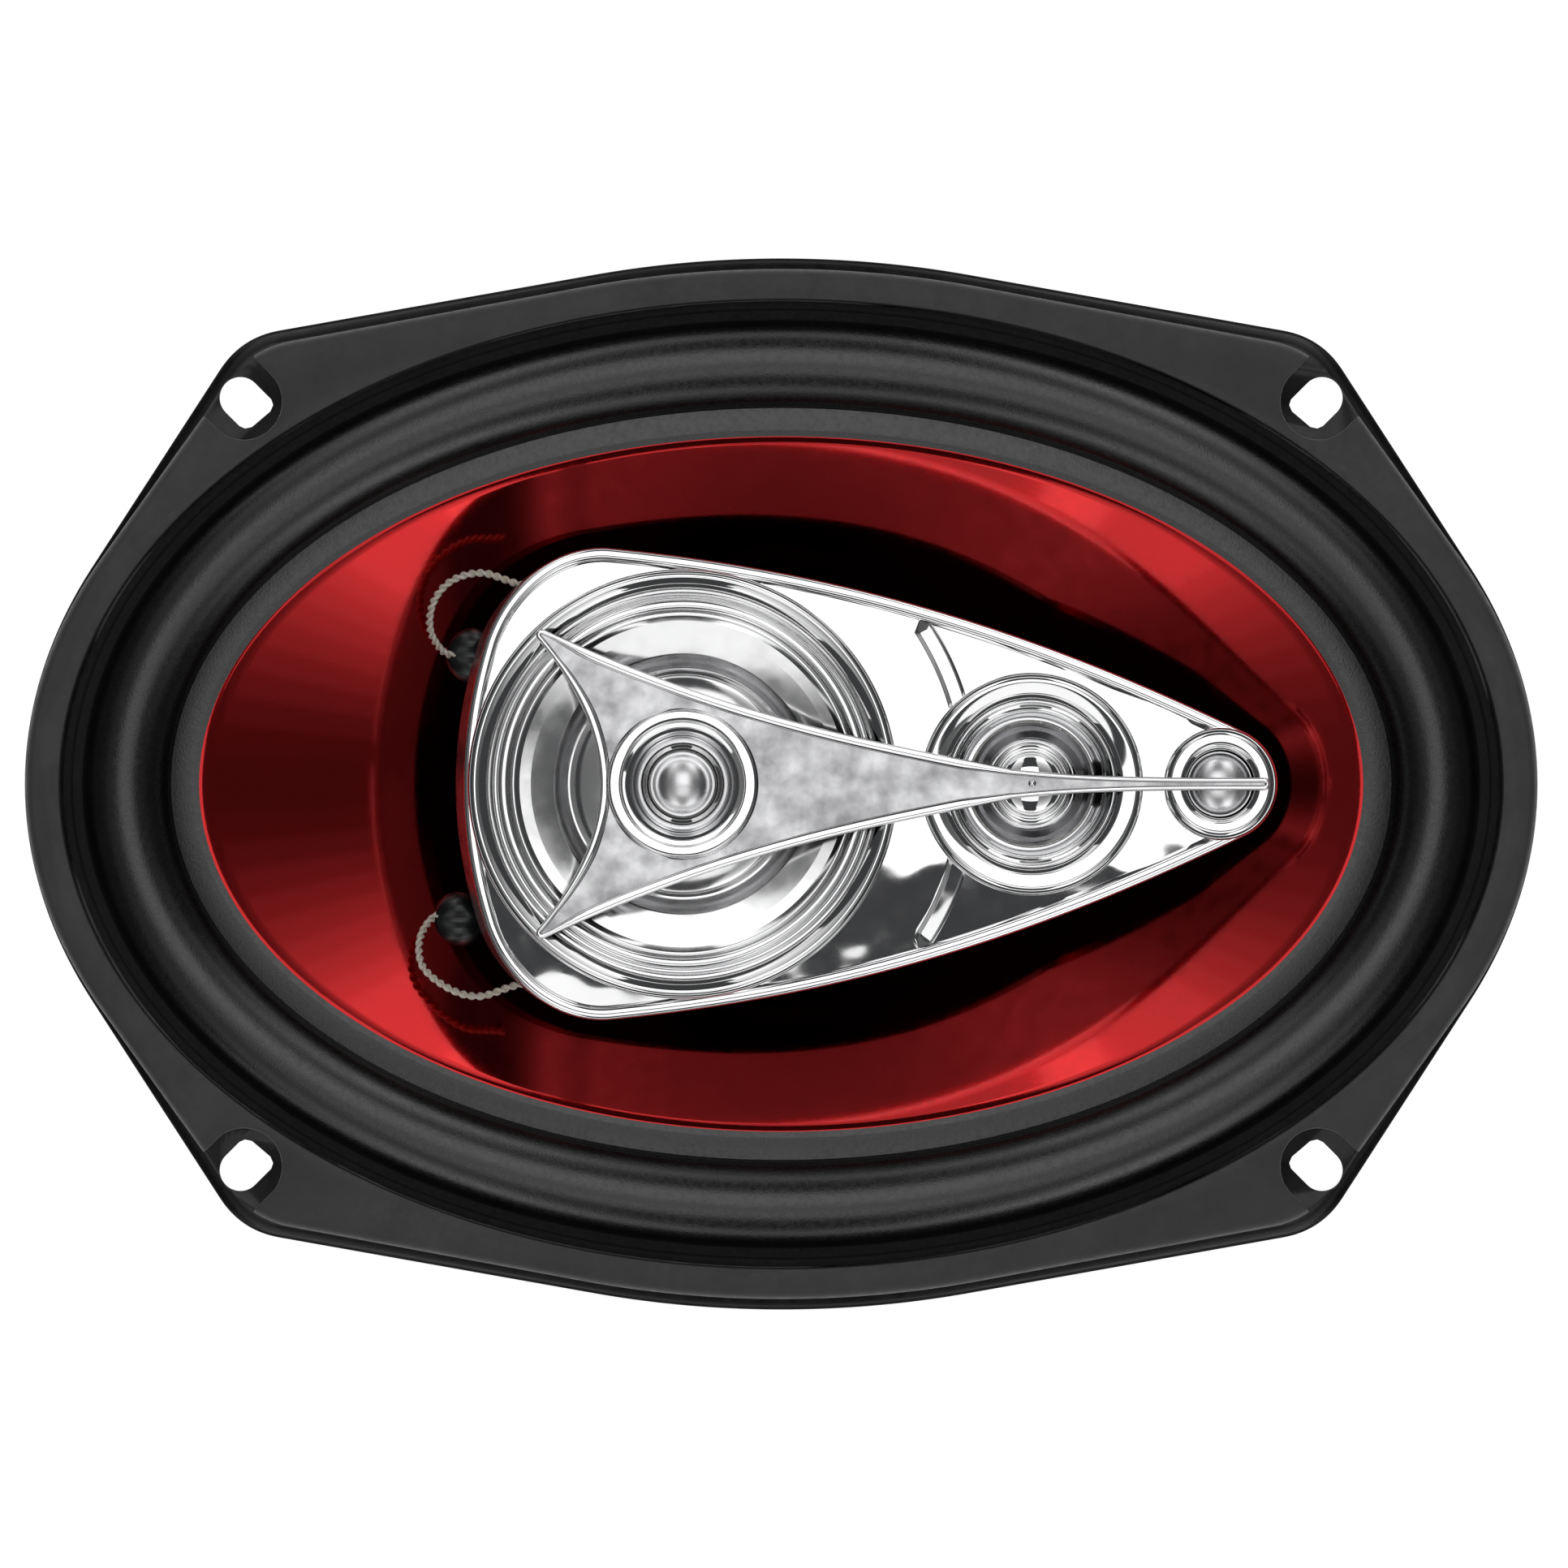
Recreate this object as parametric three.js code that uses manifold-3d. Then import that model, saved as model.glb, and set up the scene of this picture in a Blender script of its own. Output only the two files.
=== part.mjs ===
// A 6x9 inch four-way coaxial car speaker: an oval woofer in a stamped steel basket. A chromed housing on a
// centre column carries a midrange, a dome tweeter on its bridge, a cone tweeter and a super tweeter.
// Millimetres, +Z along the speaker's axis towards the listener, +X along the long side of the oval.
// The origin is the centre of the motor's back face, which is what the speaker rests on.
import * as THREE from "three";
import { mergeVertices } from "three/addons/utils/BufferGeometryUtils.js";
import Module from "manifold-3d";

const wasm = await Module();
wasm.setup();

// ---------- Driving dimensions ----------

const OVAL_SEGMENTS = 48; // facets round the woofer's oval parts
const ROUND_SEGMENTS = 28; // facets round the large circular parts
const SMALL_SEGMENTS = 18; // facets round the small circular parts

// Flange outline: an ellipse with an ear at each corner
const FLANGE = { a: 117.5, b: 81.65, earX: 83.9, earY: 69.4, corner: 6 };
const GASKET = { a: 117.2, b: 79.8, earX: 82, earY: 67.5, corner: 6 };
const FLANGE_HOLE = { a: 106.4, b: 70.9 };
const GASKET_HOLE = { a: 111.8, b: 75.1 };
const WINDOW_INNER = { a: 57, b: 53.5 }; // the basket's windows lie between these two ellipses in plan
const WINDOW_OUTER = { a: 99, b: 65 };
const MOUNTING_DEPTH = 76; // motor's back face to the flange's back face
const STEEL = 1.2;
const FLANGE_TOP = MOUNTING_DEPTH + STEEL;
const GASKET_HEIGHT = 4;
const SLOT = { x: 83.2, y: 59.2, width: 6.4 }; // screw slots, one in each ear, turned by 45 degrees
const NOTCH_WIDTH = 11.8; // the gasket's cut-out round each slot

// Woofer motor, stacked upwards from the back face
const YOKE_TOP = 6;
const MAGNET_TOP = 22;
const PLATE_TOP = 27;
const POLE_TOP = 28;
const POLE_RADIUS = 15;
const MAGNET_RADIUS = 45;
const PLATE_RADIUS = 41;
const BOLT_RADIUS = 2.5;
const BOLT_HOLE = 3;

// Woofer cone: from a round neck to an oval edge
const NECK = { radius: 17, z: 44 };
const CONE_EDGE = { a: 90.2, b: 53.9, z: 74.6 };
const CONE_WALL = 0.9;
const CONE_FLARE = 0.85; // below 1 the cone is steeper at the neck than at the edge
const LIP = 4.3; // flat rim of the cone, under the surround's inner lip
const OVAL_DROP = 36.4; // how much shorter the surround is across than along
const FORMER = { inner: 15.8, outer: 16.3 };

const SPIDER_SHELF = 42.2;
const SURROUND = { outer: 111.2, middle: 101.5, half: 6, rise: 4.4, inner: 90.6, wall: 0.8 }; // radii along X

// Housing over the middle of the cone
const BASE_Z = 70; // underside of the base over most of its length
const BASE_TIP_Z = 75.5; // underside at the narrow tip, where the cone is shallower
const BASE_BROAD_Z = 71.5; // underside at the broad end
const BASE_WALL = 1.2;
const DECK_Z = 84.5;
const DECK_WALL = 1.5;
const SHELL_WALL = 1.6;
const SKIRT_FLARE = 1.6; // how far the broad end's skirt leans out
const TRIM_TOP = 86.5; // top of the three trim rings
const BRIDGE_TOP = 88;
const MID_X = -15.2;
const TWEETER_X = 38.7;
const SUPER_X = 67.8;
const TIP_RADIUS = 8.9;
const MID_RING = { inner: 30.2, spigot: 30.9, outer: 33.2 };
const TWEETER_RING = { inner: 13.2, spigot: 14.3, outer: 17.2 };
const SUPER_RING = { inner: 5.3, spigot: 6.2, outer: 8.7 };
const CUP_RADIUS = 9.5; // the dome tweeter's cup, which hangs through the bridge
const FIT = 0.3; // gap between a driver and its hole

// Flexible leads
const LEAD_RADIUS = 0.65;
const LEAD_SIDES = 8;

// ---------- Materials ----------

const material = (color, roughness, metalness) =>
  new THREE.MeshStandardMaterial({ color, roughness, metalness });

const MATERIALS = {
  blackSteel: material(0x121212, 0.4, 0.6),
  gasket: material(0x3d3d3d, 0.8, 0),
  rubber: material(0x1c1c1c, 0.7, 0),
  redCone: material(0xa01014, 0.2, 0.4),
  chrome: material(0xe0e0e0, 0.06, 1),
  zinc: material(0xb8bcc0, 0.35, 1),
  ferrite: material(0x2b2b2d, 0.85, 0),
  copper: material(0xb5693a, 0.35, 1),
  kapton: material(0x8a5a20, 0.4, 0.1),
  cloth: material(0xc9a45c, 0.9, 0),
  blackPlastic: material(0x101010, 0.5, 0),
  silverFoil: material(0xd0d2d4, 0.25, 0.9),
  darkFoil: material(0x55585c, 0.3, 0.8),
  adhesive: material(0x0a0c0d, 0.25, 0),
  braid: material(0xcfc3a0, 0.5, 0.5),
  phenolic: material(0x6b3b1f, 0.6, 0),
  tin: material(0xc8c4b8, 0.3, 1),
  capSleeve: material(0x1b3350, 0.4, 0),
  wireRed: material(0xa81818, 0.5, 0),
};

// ---------- Geometry helpers ----------

// A closed mesh as a manifold-3d solid, whichever way its faces point.
function solidOf(geometry) {
  const bare = geometry.clone();
  bare.deleteAttribute("normal");
  bare.deleteAttribute("uv");
  const merged = mergeVertices(bare, 1e-4);
  const vertProperties = new Float32Array(merged.attributes.position.array);
  const triVerts = new Uint32Array(merged.index.array);
  const made = new wasm.Manifold(new wasm.Mesh({ numProp: 3, vertProperties, triVerts }));
  if (made.volume() >= 0) return made;
  const flipped = triVerts.slice();
  for (let i = 0; i < flipped.length; i += 3) {
    flipped[i] = triVerts[i + 1];
    flipped[i + 1] = triVerts[i];
  }
  return new wasm.Manifold(new wasm.Mesh({ numProp: 3, vertProperties, triVerts: flipped }));
}

function geometryOf(solid) {
  const mesh = solid.getMesh();
  const positions = new Float32Array(mesh.numVert * 3);
  for (let i = 0; i < mesh.numVert; i++) {
    const at = i * mesh.numProp;
    positions.set(mesh.vertProperties.subarray(at, at + 3), i * 3);
  }
  const geometry = new THREE.BufferGeometry();
  geometry.setAttribute("position", new THREE.BufferAttribute(positions, 3));
  geometry.setIndex(new THREE.BufferAttribute(mesh.triVerts, 1));
  geometry.computeVertexNormals();
  return geometry;
}

// Stations are [radius, z] for a round solid, or [radiusX, radiusY, z] for an oval one.
const station = (s) => (s.length === 3 ? s : [s[0], s[0], s[1]]);

// Turns a profile round the Z axis. A profile that leaves the axis closes on itself.
function turned(profile, segments = ROUND_SEGMENTS) {
  const stations = profile.map(station);
  if (stations[0][0] > 0) stations.push(stations[0]);
  const geometry = new THREE.LatheGeometry(
    stations.map(([rx, , z]) => new THREE.Vector2(rx, z)),
    segments,
  );
  geometry.rotateX(Math.PI / 2);
  const position = geometry.attributes.position;
  for (let i = 0; i < position.count; i++) {
    const [rx, ry] = stations[i % stations.length];
    if (rx > 0) position.setY(i, (position.getY(i) * ry) / rx);
  }
  return solidOf(geometry);
}

// Thickens an open path of stations to one side, and returns the closed profile of that sheet.
function sheet(path, thickness) {
  const points = path.map(station);
  const sideOf = (p, q) => {
    const along = new THREE.Vector2(q[0] - p[0], q[2] - p[2]).normalize();
    return new THREE.Vector2(along.y, -along.x);
  };
  const offset = points.map((p, i) => {
    const before = sideOf(points[Math.max(i - 1, 0)], points[Math.max(i, 1)]);
    const after = sideOf(points[Math.min(i, points.length - 2)], points[Math.min(i + 1, points.length - 1)]);
    const mitre = before.clone().add(after).normalize();
    mitre.multiplyScalar(thickness / Math.max(mitre.dot(before), 0.5));
    return p[0] === 0 ? [0, 0, p[2] + thickness] : [p[0] + mitre.x, p[1] + mitre.x, p[2] + mitre.y];
  });
  return [...points, ...offset.reverse()];
}

// An outline pulled up from z0 to z1.
function plate(shape, z0, z1, curveSegments = 8) {
  const geometry = new THREE.ExtrudeGeometry(shape, { depth: z1 - z0, bevelEnabled: false, curveSegments });
  geometry.translate(0, 0, z0);
  return solidOf(geometry);
}

function box(x0, x1, y0, y1, z0, z1) {
  const geometry = new THREE.BoxGeometry(x1 - x0, y1 - y0, z1 - z0);
  geometry.translate((x0 + x1) / 2, (y0 + y1) / 2, (z0 + z1) / 2);
  return solidOf(geometry);
}

// A round rod from z0 to z1, with its axis at (x, y).
const rod = (x, y, radius, z0, z1, segments = SMALL_SEGMENTS) =>
  turned([[0, z0], [radius, z0], [radius, z1], [0, z1]], segments).translate([x, y, 0]);

// A tube of the flexible lead's section that follows a smooth curve through the points.
function lead(points, radius = LEAD_RADIUS, stepsPerPoint = 2) {
  const curve = new THREE.CatmullRomCurve3(points.map((p) => new THREE.Vector3(...p)));
  const section = new THREE.Shape();
  for (let i = 0; i < LEAD_SIDES; i++) {
    const angle = (i / LEAD_SIDES) * 2 * Math.PI;
    section[i ? "lineTo" : "moveTo"](radius * Math.cos(angle), radius * Math.sin(angle));
  }
  const steps = (points.length - 1) * stepsPerPoint;
  return solidOf(new THREE.ExtrudeGeometry(section, { steps, extrudePath: curve, bevelEnabled: false }));
}

function ellipsePath(a, b) {
  const path = new THREE.Path();
  for (let quarter = 0; quarter < 4; quarter++) {
    path.absellipse(0, 0, a, b, (quarter * Math.PI) / 2, ((quarter + 1) * Math.PI) / 2, false, 0);
  }
  return path;
}

// The part of a dome's arc from its rim to its top, as [radius, z] stations.
function domeArc(radius, height, z, steps) {
  const arc = [];
  for (let i = 0; i <= steps; i++) {
    const angle = (i / steps) * (Math.PI / 2);
    arc.push([i === steps ? 0 : radius * Math.cos(angle), z + height * Math.sin(angle)]);
  }
  return arc;
}

// ---------- The scene graph ----------

const speaker = new THREE.Group();

function add(name, solid, look, group = speaker) {
  const mesh = new THREE.Mesh(geometryOf(solid), look);
  mesh.name = name;
  group.add(mesh);
  return mesh;
}

function groupAt(x, y = 0, z = 0) {
  const group = new THREE.Group();
  group.position.set(x, y, z);
  speaker.add(group);
  return group;
}

// ---------- Flange, basket and gasket ----------

// The four ears, as the signs of their X and Y.
const EARS = [[1, 1], [-1, 1], [-1, -1], [1, -1]];

// An ellipse with four ears. Each ear is the two tangents from its tip to the ellipse, with the tip rounded.
function earedEllipse({ a, b, earX, earY, corner }) {
  const reach = Math.hypot(earX / a, earY / b);
  const middle = Math.atan2(earY / b, earX / a);
  const low = middle - Math.acos(1 / reach);
  const high = middle + Math.acos(1 / reach);
  const arcs = [
    [-low, low],
    [high, Math.PI - high],
    [Math.PI - low, Math.PI + low],
    [Math.PI + high, 2 * Math.PI - high],
  ];
  const tips = EARS.map(([sx, sy]) => new THREE.Vector2(sx * earX, sy * earY));
  const onEllipse = (angle) => new THREE.Vector2(a * Math.cos(angle), b * Math.sin(angle));
  const towards = (from, to) => from.clone().add(to.clone().sub(from).setLength(corner));
  const shape = new THREE.Shape();
  arcs.forEach(([from, to], i) => {
    shape.absellipse(0, 0, a, b, from, to, false, 0);
    const tip = tips[i];
    const leaving = towards(tip, onEllipse(to));
    const joining = towards(tip, onEllipse(arcs[(i + 1) % 4][0]));
    shape.lineTo(leaving.x, leaving.y);
    shape.quadraticCurveTo(tip.x, tip.y, joining.x, joining.y);
  });
  return shape;
}

// An outline around an ear's slot, from points given as how far outwards along the slot, and across it.
function earShape([sx, sy], points) {
  const turn = Math.SQRT1_2;
  return new THREE.Shape(
    points.map(([u, v]) => new THREE.Vector2(sx * (SLOT.x + turn * (u + v)), sy * (SLOT.y + turn * (u - v)))),
  );
}

// A slot with a round outer end and a slanted inner end.
function slotShape(ear) {
  const half = SLOT.width / 2;
  const outward = 1.1;
  const points = [];
  for (let i = 0; i <= 8; i++) {
    const angle = -Math.PI / 2 + (i / 8) * Math.PI;
    points.push([outward + half * Math.cos(angle), half * Math.sin(angle)]);
  }
  points.push([-2.7, half], [-4.1, -half]);
  return earShape(ear, points);
}

// The cut-out in the gasket: round at the slot and open to the outside.
function notchShape(ear) {
  const half = NOTCH_WIDTH / 2;
  const reach = 20;
  const points = [[reach, half]];
  for (let i = 0; i <= 10; i++) {
    const angle = Math.PI / 2 + (i / 10) * Math.PI;
    points.push([half * Math.cos(angle), half * Math.sin(angle)]);
  }
  points.push([reach, -half]);
  return earShape(ear, points);
}

const cutEach = (solid, tools) => tools.reduce((left, tool) => left.subtract(tool), solid);

// A window in the basket's wall, seen along the axis: between two ellipses, and between two legs.
function windowShape(middleAngle) {
  const half = THREE.MathUtils.degToRad(23);
  const narrow = THREE.MathUtils.degToRad(19);
  const shape = new THREE.Shape();
  const { a, b } = WINDOW_OUTER;
  shape.absellipse(0, 0, a, b, middleAngle - half, middleAngle + half, false, 0);
  const { a: innerA, b: innerB } = WINDOW_INNER;
  shape.absellipse(0, 0, innerA, innerB, middleAngle + narrow, middleAngle - narrow, true, 0);
  return shape;
}

function makeBasket() {
  const flange = earedEllipse(FLANGE);
  flange.holes.push(ellipsePath(FLANGE_HOLE.a, FLANGE_HOLE.b));
  const wall = sheet(
    [
      [19, 27], [44, 27], [45.5, SPIDER_SHELF - STEEL], [52, 50, SPIDER_SHELF - STEEL], [103.5, 68, 69],
      [105.2, 69.7, MOUNTING_DEPTH], [108, 72.5, MOUNTING_DEPTH],
    ].reverse(),
    STEEL,
  );
  const windows = [30, 90, 150, 210, 270, 330].map((angle) =>
    plate(windowShape(THREE.MathUtils.degToRad(angle)), SPIDER_SHELF + 1, 69.5, 3),
  );
  const slots = EARS.map((ear) => plate(slotShape(ear), MOUNTING_DEPTH - 2, FLANGE_TOP + 2));
  const body = plate(flange, MOUNTING_DEPTH, FLANGE_TOP, 8).add(turned(wall, OVAL_SEGMENTS));
  return cutEach(body, [...windows, ...slots]);
}

function makeGasket() {
  const outline = earedEllipse(GASKET);
  outline.holes.push(ellipsePath(GASKET_HOLE.a, GASKET_HOLE.b));
  const notches = EARS.map((ear) => plate(notchShape(ear), FLANGE_TOP - 1, FLANGE_TOP + GASKET_HEIGHT + 1));
  return cutEach(plate(outline, FLANGE_TOP, FLANGE_TOP + GASKET_HEIGHT, 8), notches);
}

// ---------- Woofer diaphragm ----------

// The cone's back face at t from 0, the neck, to 1, the edge of the coloured part.
const coneStation = (t) => [
  NECK.radius + (CONE_EDGE.a - NECK.radius) * t,
  NECK.radius + (CONE_EDGE.b - NECK.radius) * t,
  NECK.z + (CONE_EDGE.z - NECK.z) * t ** CONE_FLARE,
];

const CONE_STEPS = [0, 0.15, 0.4, 0.7, 1];

const conePath = () => [
  ...CONE_STEPS.map(coneStation),
  [CONE_EDGE.a + LIP, CONE_EDGE.b + LIP, CONE_EDGE.z],
];

// The height of the cone's back face over a point of the plan.
function coneHeight(x, y) {
  let t = 0.5;
  for (let step = 0.25; step > 1e-5; step /= 2) {
    const [a, b] = coneStation(t);
    t += Math.hypot(x / a, y / b) > 1 ? step : -step;
  }
  return coneStation(t)[2];
}

const makeCone = () => turned(sheet(conePath().reverse(), CONE_WALL), OVAL_SEGMENTS);

// Everything in front of the cone, a little clear of it.
function spaceOverCone(clearance) {
  const [[edgeA, edgeB]] = conePath().slice(-1);
  const front = conePath().map(([a, b, z]) => [a, b, z + CONE_WALL + clearance]);
  const stations = [[0, 0, NECK.z + CONE_WALL + clearance], ...front, [edgeA, edgeB, 100], [0, 0, 100]];
  return turned(stations, OVAL_SEGMENTS);
}

function makeSurround() {
  const { outer, middle, half, rise, inner, wall } = SURROUND;
  const innerZ = CONE_EDGE.z + CONE_WALL + 0.1;
  const arc = [];
  for (let i = 0; i <= 5; i++) {
    const angle = Math.PI * (i / 5);
    const base = THREE.MathUtils.lerp(FLANGE_TOP, innerZ, i / 5);
    arc.push([middle + half * Math.cos(angle), base + rise * Math.sin(angle)]);
  }
  const path = [[outer, FLANGE_TOP], ...arc, [inner, innerZ]].map(([r, z]) => [r, r - OVAL_DROP, z]);
  return turned(sheet(path, wall), OVAL_SEGMENTS);
}

function makeSpider() {
  const path = [[48.6, SPIDER_SHELF]];
  const rolls = 4;
  for (let i = 0; i <= 2 * rolls; i++) {
    const radius = THREE.MathUtils.lerp(46, 20, i / (2 * rolls));
    path.push([radius, SPIDER_SHELF + (i === 0 ? 0 : i % 2 ? 1.5 : -1.1)]);
  }
  path.push([17.4, SPIDER_SHELF], [16.5, SPIDER_SHELF + 1]);
  return turned(sheet(path, 0.7), ROUND_SEGMENTS);
}

// A blob of adhesive on the cone's front, over the joint between the two leads of one side.
function makeDab(x, y) {
  const blob = new THREE.SphereGeometry(1, 16, 10);
  blob.scale(4.1, 4.5, 2.7);
  blob.translate(x, y, coneHeight(x, y) + CONE_WALL + 0.4);
  return solidOf(blob).intersect(spaceOverCone(0.4));
}

// ---------- Housing ----------

// The housing in plan: a round tip, long convex sides and a broad, gently curved end.
function housingOutline() {
  const shape = new THREE.Shape();
  const tipAngle = THREE.MathUtils.degToRad(66.7);
  shape.absarc(SUPER_X, 0, TIP_RADIUS, -tipAngle, tipAngle, false);
  shape.bezierCurveTo(43.2, 21.7, 14, 32.4, -26, 36.4);
  shape.bezierCurveTo(-34, 37.3, -42.4, 31.6, -45.7, 22.2);
  shape.quadraticCurveTo(-52.5, 0, -45.7, -22.2);
  shape.bezierCurveTo(-42.4, -31.6, -34, -37.3, -26, -36.4);
  const start = shape.getPoint(0);
  shape.bezierCurveTo(14, -32.4, 43.2, -21.7, start.x, start.y);
  return shape.getPoints(7).slice(0, -1);
}

// A convex outline moved inwards by a distance.
function inset(points, distance) {
  const n = points.length;
  return points.map((p, i) => {
    const along = points[(i + 1) % n].clone().sub(points[(i + n - 1) % n]).normalize();
    return new THREE.Vector2(p.x - along.y * distance, p.y + along.x * distance);
  });
}

// A slab that follows the base's underside, which rises towards both ends, from one height over it to another.
function baseSlab(low, high) {
  const bends = [
    [-70, BASE_BROAD_Z], [-44, BASE_BROAD_Z], [-28, BASE_Z], [38, BASE_Z], [60, BASE_TIP_Z], [90, BASE_TIP_Z],
  ];
  const outline = [
    ...bends.map(([x, z]) => new THREE.Vector2(x, z + low)),
    ...bends.reverse().map(([x, z]) => new THREE.Vector2(x, z + high)),
  ];
  const geometry = new THREE.ExtrudeGeometry(new THREE.Shape(outline), { depth: 100, bevelEnabled: false });
  geometry.rotateX(Math.PI / 2);
  geometry.translate(0, 50, 0);
  return solidOf(geometry);
}

// Where the front leads go into the housing's side.
const LEAD_ENTRY = { x: -41.4, y: 31, z: 75 };

function leadHole(sy) {
  const hole = new THREE.CylinderGeometry(1.3, 1.3, 8, 12);
  hole.rotateZ(Math.PI / 2);
  hole.rotateZ(-sy * 0.2);
  hole.translate(LEAD_ENTRY.x, sy * LEAD_ENTRY.y, LEAD_ENTRY.z);
  return solidOf(hole);
}

const HOUSING = housingOutline();

function makeShell() {
  const outer = new THREE.ExtrudeGeometry(new THREE.Shape(HOUSING), {
    depth: DECK_Z - BASE_Z, bevelEnabled: false,
  });
  outer.translate(0, 0, BASE_Z);
  const position = outer.attributes.position;
  for (let i = 0; i < position.count; i++) {
    const x = position.getX(i);
    const share = THREE.MathUtils.clamp((-x - 25) / 24, 0, 1);
    if (position.getZ(i) < DECK_Z - 1) position.setX(i, x - SKIRT_FLARE * share);
  }
  const inner = plate(new THREE.Shape(inset(HOUSING, SHELL_WALL)), BASE_Z - 1, DECK_Z - DECK_WALL);
  const openings = [
    rod(MID_X, 0, MID_RING.spigot + FIT, DECK_Z - 4, DECK_Z + 1, ROUND_SEGMENTS),
    rod(TWEETER_X, 0, TWEETER_RING.spigot + FIT, DECK_Z - 4, DECK_Z + 1),
    rod(SUPER_X, 0, SUPER_RING.spigot + FIT, DECK_Z - 4, DECK_Z + 1),
  ];
  return cutEach(solidOf(outer), [inner, baseSlab(-20, 0), ...openings, leadHole(1), leadHole(-1)]);
}

function makeBase() {
  const tray = plate(new THREE.Shape(inset(HOUSING, SHELL_WALL + FIT)), BASE_Z - 1, BASE_TIP_Z + 4);
  return tray.intersect(baseSlab(0, BASE_WALL)).subtract(rod(0, 0, BOLT_HOLE, BASE_Z - 5, BASE_Z + 5));
}

// A trim ring that stands on the deck with a spigot in the deck's opening.
const trimRing = ({ inner, spigot, outer }) =>
  turned([
    [inner, DECK_Z - 1.7], [spigot, DECK_Z - 1.7], [spigot, DECK_Z], [outer, DECK_Z],
    [outer, TRIM_TOP - 0.6], [outer - 0.6, TRIM_TOP], [inner + 0.6, TRIM_TOP], [inner, TRIM_TOP - 0.6],
  ]);

// The bridge in plan: two arms to the broad end, and one long arm that tapers over both tweeters.
function makeBridge() {
  const half = new THREE.Shape();
  half.moveTo(75.4, 0);
  half.lineTo(75.4, 1);
  half.bezierCurveTo(62, 1, 48, 0.9, 35.4, 2.3);
  half.bezierCurveTo(15, 6.6, -6, 9.6, -36, 23.6);
  half.lineTo(-38.4, 23.4);
  half.quadraticCurveTo(-27.9, 11, -27.9, 0);
  const upper = half.getPoints(6);
  const lower = upper.map((p) => new THREE.Vector2(p.x, -p.y)).reverse();
  const outline = new THREE.Shape([...upper, ...lower.slice(1, -1)]);
  return plate(outline, TRIM_TOP, BRIDGE_TOP).subtract(
    rod(MID_X, 0, CUP_RADIUS + FIT, TRIM_TOP - 1, BRIDGE_TOP + 1),
  );
}

// ---------- Assembly: frame and motor ----------

add("basket", makeBasket(), MATERIALS.blackSteel);
add("front_gasket", makeGasket(), MATERIALS.gasket);
add(
  "yoke",
  turned([
    [5.4, 0], [40, 0], [PLATE_RADIUS, 1], [PLATE_RADIUS, YOKE_TOP], [POLE_RADIUS, YOKE_TOP],
    [POLE_RADIUS, POLE_TOP], [BOLT_HOLE, POLE_TOP], [BOLT_HOLE, 4], [5.4, 4],
  ]),
  MATERIALS.zinc,
);
add(
  "magnet",
  turned([
    [24, YOKE_TOP], [MAGNET_RADIUS - 1, YOKE_TOP], [MAGNET_RADIUS, YOKE_TOP + 1],
    [MAGNET_RADIUS, MAGNET_TOP - 1], [MAGNET_RADIUS - 1, MAGNET_TOP], [24, MAGNET_TOP],
  ]),
  MATERIALS.ferrite,
);
add(
  "top_plate",
  turned([[18, MAGNET_TOP], [PLATE_RADIUS, MAGNET_TOP], [PLATE_RADIUS, PLATE_TOP], [18, PLATE_TOP]]),
  MATERIALS.zinc,
);
add(
  "centre_column",
  turned([
    [BOLT_HOLE, POLE_TOP], [9, POLE_TOP], [9, 66], [14, BASE_Z - 1.4], [14, BASE_Z], [BOLT_HOLE, BASE_Z],
  ]),
  MATERIALS.blackPlastic,
);
add(
  "column_bolt",
  turned([[0, 0.6], [4.4, 0.6], [4.4, 4], [BOLT_RADIUS, 4], [BOLT_RADIUS, 76], [0, 76]], 18),
  MATERIALS.zinc,
);

const hexagon = new THREE.Shape();
for (let i = 0; i < 6; i++) {
  const angle = (i / 6) * 2 * Math.PI;
  hexagon[i ? "lineTo" : "moveTo"](4.6 * Math.cos(angle), 4.6 * Math.sin(angle));
}
hexagon.holes.push(ellipsePath(BOLT_RADIUS + 0.2, BOLT_RADIUS + 0.2));
add("column_nut", plate(hexagon, BASE_Z + BASE_WALL, BASE_Z + BASE_WALL + 4, 9), MATERIALS.zinc);

// ---------- Assembly: woofer diaphragm ----------

add("surround", makeSurround(), MATERIALS.rubber);
add("spider", makeSpider(), MATERIALS.cloth);
add("cone", makeCone(), MATERIALS.redCone);
add(
  "voice_coil_former",
  turned([[FORMER.inner, 19], [FORMER.outer, 19], [FORMER.outer, 47], [FORMER.inner, 47]]),
  MATERIALS.kapton,
);
add("voice_coil", turned([[16.4, 19.3], [17.2, 19.3], [17.2, 31], [16.4, 31]]), MATERIALS.copper);
add(
  "dust_ring",
  turned(sheet([[24.2, 20.6, 50.3], [17, 15.6, 51.5], [10.6, 10.6, 52]], 0.7)),
  MATERIALS.rubber,
);
const DABS = { upper: [-48.8, 20.5], lower: [-50.7, -21.5] };
add("lead_dab_upper", makeDab(...DABS.upper), MATERIALS.adhesive);
add("lead_dab_lower", makeDab(...DABS.lower), MATERIALS.adhesive);

// ---------- Assembly: leads between the cone, the housing and the terminals ----------

const FRONT_LEAD = [
  [-53.6, 20.9, 66.9], [-54.8, 24.2, 69.8], [-54.2, 28.2, 72.4], [-51.3, 31.6, 74], [-46.6, 32.8, 75],
  [-41.6, 31.3, 75], [-38.2, 30.4, 75],
];
add("front_lead_upper", lead(FRONT_LEAD), MATERIALS.braid);
// The lower one mirrors it, but starts further out, at its own dab
const lowerLead = FRONT_LEAD.map(([x, y, z], i) => [x - (i < 4 ? 1.6 : 0.4), -y - 0.2, z]);
add("front_lead_lower", lead(lowerLead), MATERIALS.braid);

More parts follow.
